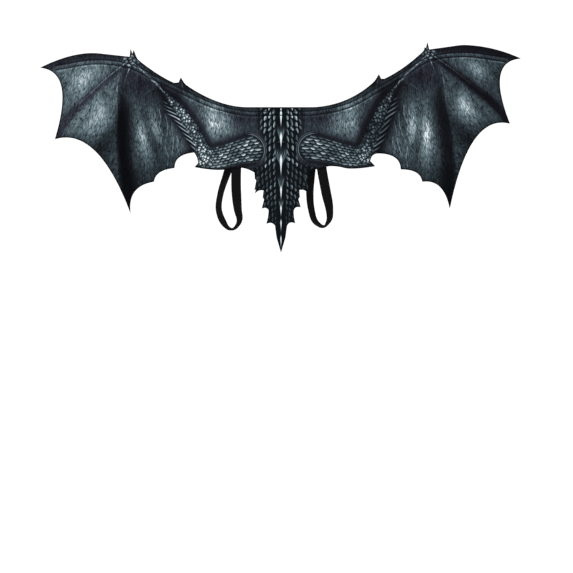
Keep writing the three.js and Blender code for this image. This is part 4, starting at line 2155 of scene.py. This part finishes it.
@dataclass
class Stitching:
    """Rows of thread that hold the casing and the loops.

    Attributes:
        form: How the felt lies.
        finish: The thread.
        long: Length of a stitch.
        thick: Its thickness.
        proud: How far it stands out of an elastic.
        head: Where the upper box of a loop starts, and its height.
        foot: Where the lower box ends and starts, measured from the loop's lower end.
        box_half: Half the width of both boxes.
        box_gap: Distance between two of their stitches.
        bow_half: Half the width over which a loop bows out.
        bar_half: Half the length of the bars on the outer face.
        bar_count: How many stitches a bar has.
    """

    form: FeltForm
    finish: bpy.types.Material
    long: float = 3.1
    thick: float = 0.62
    proud: float = 0.05
    head: tuple[float, float] = (3.0, 14.0)
    foot: tuple[float, float] = (2.5, 10.5)
    box_half: float = 7.0
    box_gap: float = 3.6
    bow_half: float = 10.0
    bar_half: float = 9.0
    bar_count: int = 6
    stitch: Array = field(init=False)
    corners: list[tuple[int, ...]] = field(init=False)

    def __post_init__(self) -> None:
        """Model one stitch, lying along X."""
        bpy.ops.object.select_all(action="DESELECT")
        bpy.ops.mesh.primitive_uv_sphere_add(segments=8, ring_count=6, radius=0.5)
        model = bpy.context.active_object
        bpy.ops.object.mode_set(mode="EDIT")
        bpy.ops.mesh.select_all(action="SELECT")
        bpy.ops.transform.resize(value=(self.thick, self.thick, self.long))
        bpy.ops.object.mode_set(mode="OBJECT")
        self.stitch = np.array([(v.co.z, v.co.y, v.co.x) for v in model.data.vertices])
        self.corners = [tuple(reversed(face.vertices)) for face in model.data.polygons]
        bpy.data.objects.remove(model)

    def sew(self, name: str, rows: Sequence[StitchRow], node: str, slot: str) -> bpy.types.Object:
        """Copy the stitch to each place.

        Args:
            name: The piece's name.
            rows: The rows that it has.
            node: The CAD node that they belong to.
            slot: A slot name, handed on to hand_over, which does not use it.

        Returns:
            The stitches as one piece.
        """
        places, ways, outs = (np.vstack(parts) for parts in zip(*rows))
        ways = unit_rows(ways)
        sides = unit_rows(np.cross(outs, ways))
        ups = np.cross(ways, sides)
        x, y, z = self.stitch.T
        points = (
            places[:, None]
            + x[None, :, None] * ways[:, None]
            + y[None, :, None] * sides[:, None]
            + z[None, :, None] * ups[:, None]
        )
        size = len(self.stitch)
        faces = [
            tuple(corner + index * size for corner in face)
            for index in range(len(places))
            for face in self.corners
        ]
        piece = Shaper.from_arrays(name, points.reshape(-1, 3), faces)
        Shaper.smooth(piece, degrees=80.0)
        piece.data.materials.append(self.finish)
        Shaper.hand_over(piece, node, slot)
        return piece

    def along_casing(self, casing: WireCasing, face: Face) -> None:
        """Sew both rows that hold the tape, as they show on one face.

        Args:
            casing: The tape.
            face: The face.
        """
        out = -1.0 if face is Face.OUTER else 1.0
        rows = []
        for row in (-casing.row, casing.row):
            line = even_line(casing.beside_line(row), casing.pitch)[1:-1]
            share = np.linspace(0.0, 1.0, len(line))
            depth = self.form.inner_depth(line)
            if face is Face.OUTER:
                depth = depth - self.form.thickness + casing.groove - 0.2
            else:
                depth = depth + casing.height(np.full(len(line), row), share) + 0.1
            points = np.c_[line[:, 0], depth, line[:, 1]]
            outs = np.tile((0.0, out, 0.0), (len(line), 1))
            rows.append(StitchRow(points, np.gradient(points, axis=0), outs))
        self.sew(f"casing_stitches_{face.name.lower()}", rows, "wire_casing", "black_tape")

    def on_strap(self, strap: ArmStrap) -> None:
        """Sew the crossed box at both ends of a loop, and the bars that its lower end shows outside.

        Args:
            strap: The loop.
        """
        low, high = self.foot
        rows = []
        for start, tall in (self.head, (strap.path.length - high, high - low)):
            left, right = -self.box_half, self.box_half
            corners = np.array([(left, 0.0), (right, 0.0), (right, tall), (left, tall)])
            for a, b in ((0, 1), (1, 2), (2, 3), (3, 0), (0, 2), (1, 3)):
                rows.append(self._side(strap, start, corners[[a, b]]))
        for drop in self.foot:
            rows.append(self._bar(strap.path.centres[-1], drop))
        self.sew(f"loop_stitches_{strap.side.name.lower()}", rows, strap.node, "black_elastic")

    def _side(self, strap: ArmStrap, start: float, ends: Array) -> StitchRow:
        """Lay a side or a diagonal of a box on the side of a loop that looks to the wearer.

        Args:
            strap: The loop.
            start: How far along the loop the box starts.
            ends: Both ends of the row, across the loop and along it from there.

        Returns:
            The row.
        """
        path = strap.path
        along = lengths_along(path.centres)
        run = even_line(ends, self.box_gap)
        run = (run[:-1] + run[1:]) / 2
        ring = np.searchsorted(along, start + run[:, 1]).clip(0, len(along) - 1)
        face = path.faces[ring]
        shown = np.sign(face[:, 1])
        bow = strap.crown * (0.5 - (run[:, 0] / self.bow_half) ** 2)
        off = shown * (strap.thickness / 2 + self.proud) + bow
        places = (
            path.centres[ring]
            + path.acrosses[ring] * run[:, :1]
            + face * off[:, None]
            + path.tangents[ring] * (start + run[:, 1] - along[ring])[:, None]
        )
        across, down = ends[1] - ends[0]
        ways = path.acrosses[ring] * across + path.tangents[ring] * down
        return StitchRow(places, ways, face * shown[:, None])

    def _bar(self, foot: Array, drop: float) -> StitchRow:
        """Lay a level row on the outer face, where a loop's lower end is sewn.

        Args:
            foot: The lower end of the loop's middle line.
            drop: How far below it the row runs.

        Returns:
            The row.
        """
        count = self.bar_count
        reach = np.linspace(-self.bar_half, self.bar_half, count) + foot[0]
        line = np.c_[reach, np.full(count, foot[2] - drop)]
        depth = self.form.inner_depth(line) - self.form.thickness - 2 * self.proud
        places = np.c_[line[:, 0], depth, line[:, 1]]
        return StitchRow(places, np.tile((1.0, 0.0, 0.0), (count, 1)), np.tile((0.0, -1.0, 0.0), (count, 1)))


@dataclass(frozen=True)
class Studio:
    """The pale floor, the soft light and the camera."""

    view_width: float = 1.2534
    centre: tuple[float, float] = (0.0120, -0.3922)
    distance: float = 40.0
    sensor: float = 36.0
    floor: float = -1.1
    floor_size: float = 120.0
    white: float = 1.12
    lamps: tuple[tuple[str, tuple[float, float, float]], ...] = (
        ("lamp_front", (-0.9, -2.2, 2.4)),
        ("lamp_back", (0.9, 2.2, 2.4)),
    )
    lamp_aim: tuple[float, float, float] = (0.0, 0.0, -0.1)
    lamp_size: float = 1.2
    lamp_power: float = 120.0

    def build(self) -> None:
        """Set up the floor, the light and the camera."""
        self._floor()
        self._light()
        self._camera()

    def _floor(self) -> None:
        """Lay a wide pale floor."""
        bpy.ops.object.select_all(action="DESELECT")
        bpy.ops.mesh.primitive_plane_add(size=self.floor_size, location=(0.0, 0.0, self.floor))
        floor = bpy.context.active_object
        floor.name = "studio_floor"
        paint = Paint("pale_floor")
        cloud = paint.noise(paint.objects(), scale=0.6)
        colour = paint.between(cloud, (0.93, 0.93, 0.93, 1.0), (0.95, 0.95, 0.95, 1.0))
        matte = {"Base Color": colour, "Roughness": 0.9, "Specular IOR Level": 0.0}
        floor.data.materials.append(paint.finish(matte))

    def _light(self) -> None:
        """Light from all round, with a soft lamp before and behind."""
        scene = bpy.context.scene
        scene.view_settings.view_transform = "Standard"
        world = bpy.data.worlds.new("studio")
        scene.world = world
        world.use_nodes = True
        sky = next(node for node in world.node_tree.nodes if node.type == "BACKGROUND")
        sky.inputs["Color"].default_value = (1.0, 1.0, 1.0, 1.0)
        sky.inputs["Strength"].default_value = self.white
        for name, place in self.lamps:
            bpy.ops.object.light_add(type="AREA", location=place)
            lamp = bpy.context.active_object
            lamp.name = name
            lamp.data.shape = "DISK"
            lamp.data.size = self.lamp_size
            lamp.data.energy = self.lamp_power
            aim = Vector(self.lamp_aim) - Vector(place)
            lamp.rotation_euler = aim.to_track_quat("-Z", "Y").to_euler()

    def _camera(self) -> None:
        """Look straight at the outer face."""
        x, z = self.centre
        bpy.ops.object.camera_add(location=(x, -self.distance, z), rotation=(math.pi / 2, 0.0, 0.0))
        camera = bpy.context.active_object
        camera.name = "camera"
        camera.data.sensor_width = self.sensor
        camera.data.lens = self.sensor * self.distance / self.view_width
        camera.data.clip_end = 10.0 * self.distance
        bpy.context.scene.camera = camera


def main() -> None:
    """Build and dress the wings in order."""
    logging.basicConfig(level=logging.INFO, format="%(name)s: %(message)s")
    Studio().build()
    form = FeltForm()
    casing = WireCasing(form)
    casing.build(TAPE_WEAVE.material())
    straps = [ArmStrap(side) for side in Side]
    elastic = ELASTIC_WEAVE.material()
    for strap in straps:
        strap.build(elastic)
    panel = WingPanel(form, casing)
    panel.build({Face.OUTER: OUTER_INK, Face.INNER: INNER_INK}, CutFelt())
    stitching = Stitching(form, Thread().material())
    for face in Face:
        stitching.along_casing(casing, face)
    for strap in straps:
        stitching.on_strap(strap)


if __name__ == "__main__":
    main()
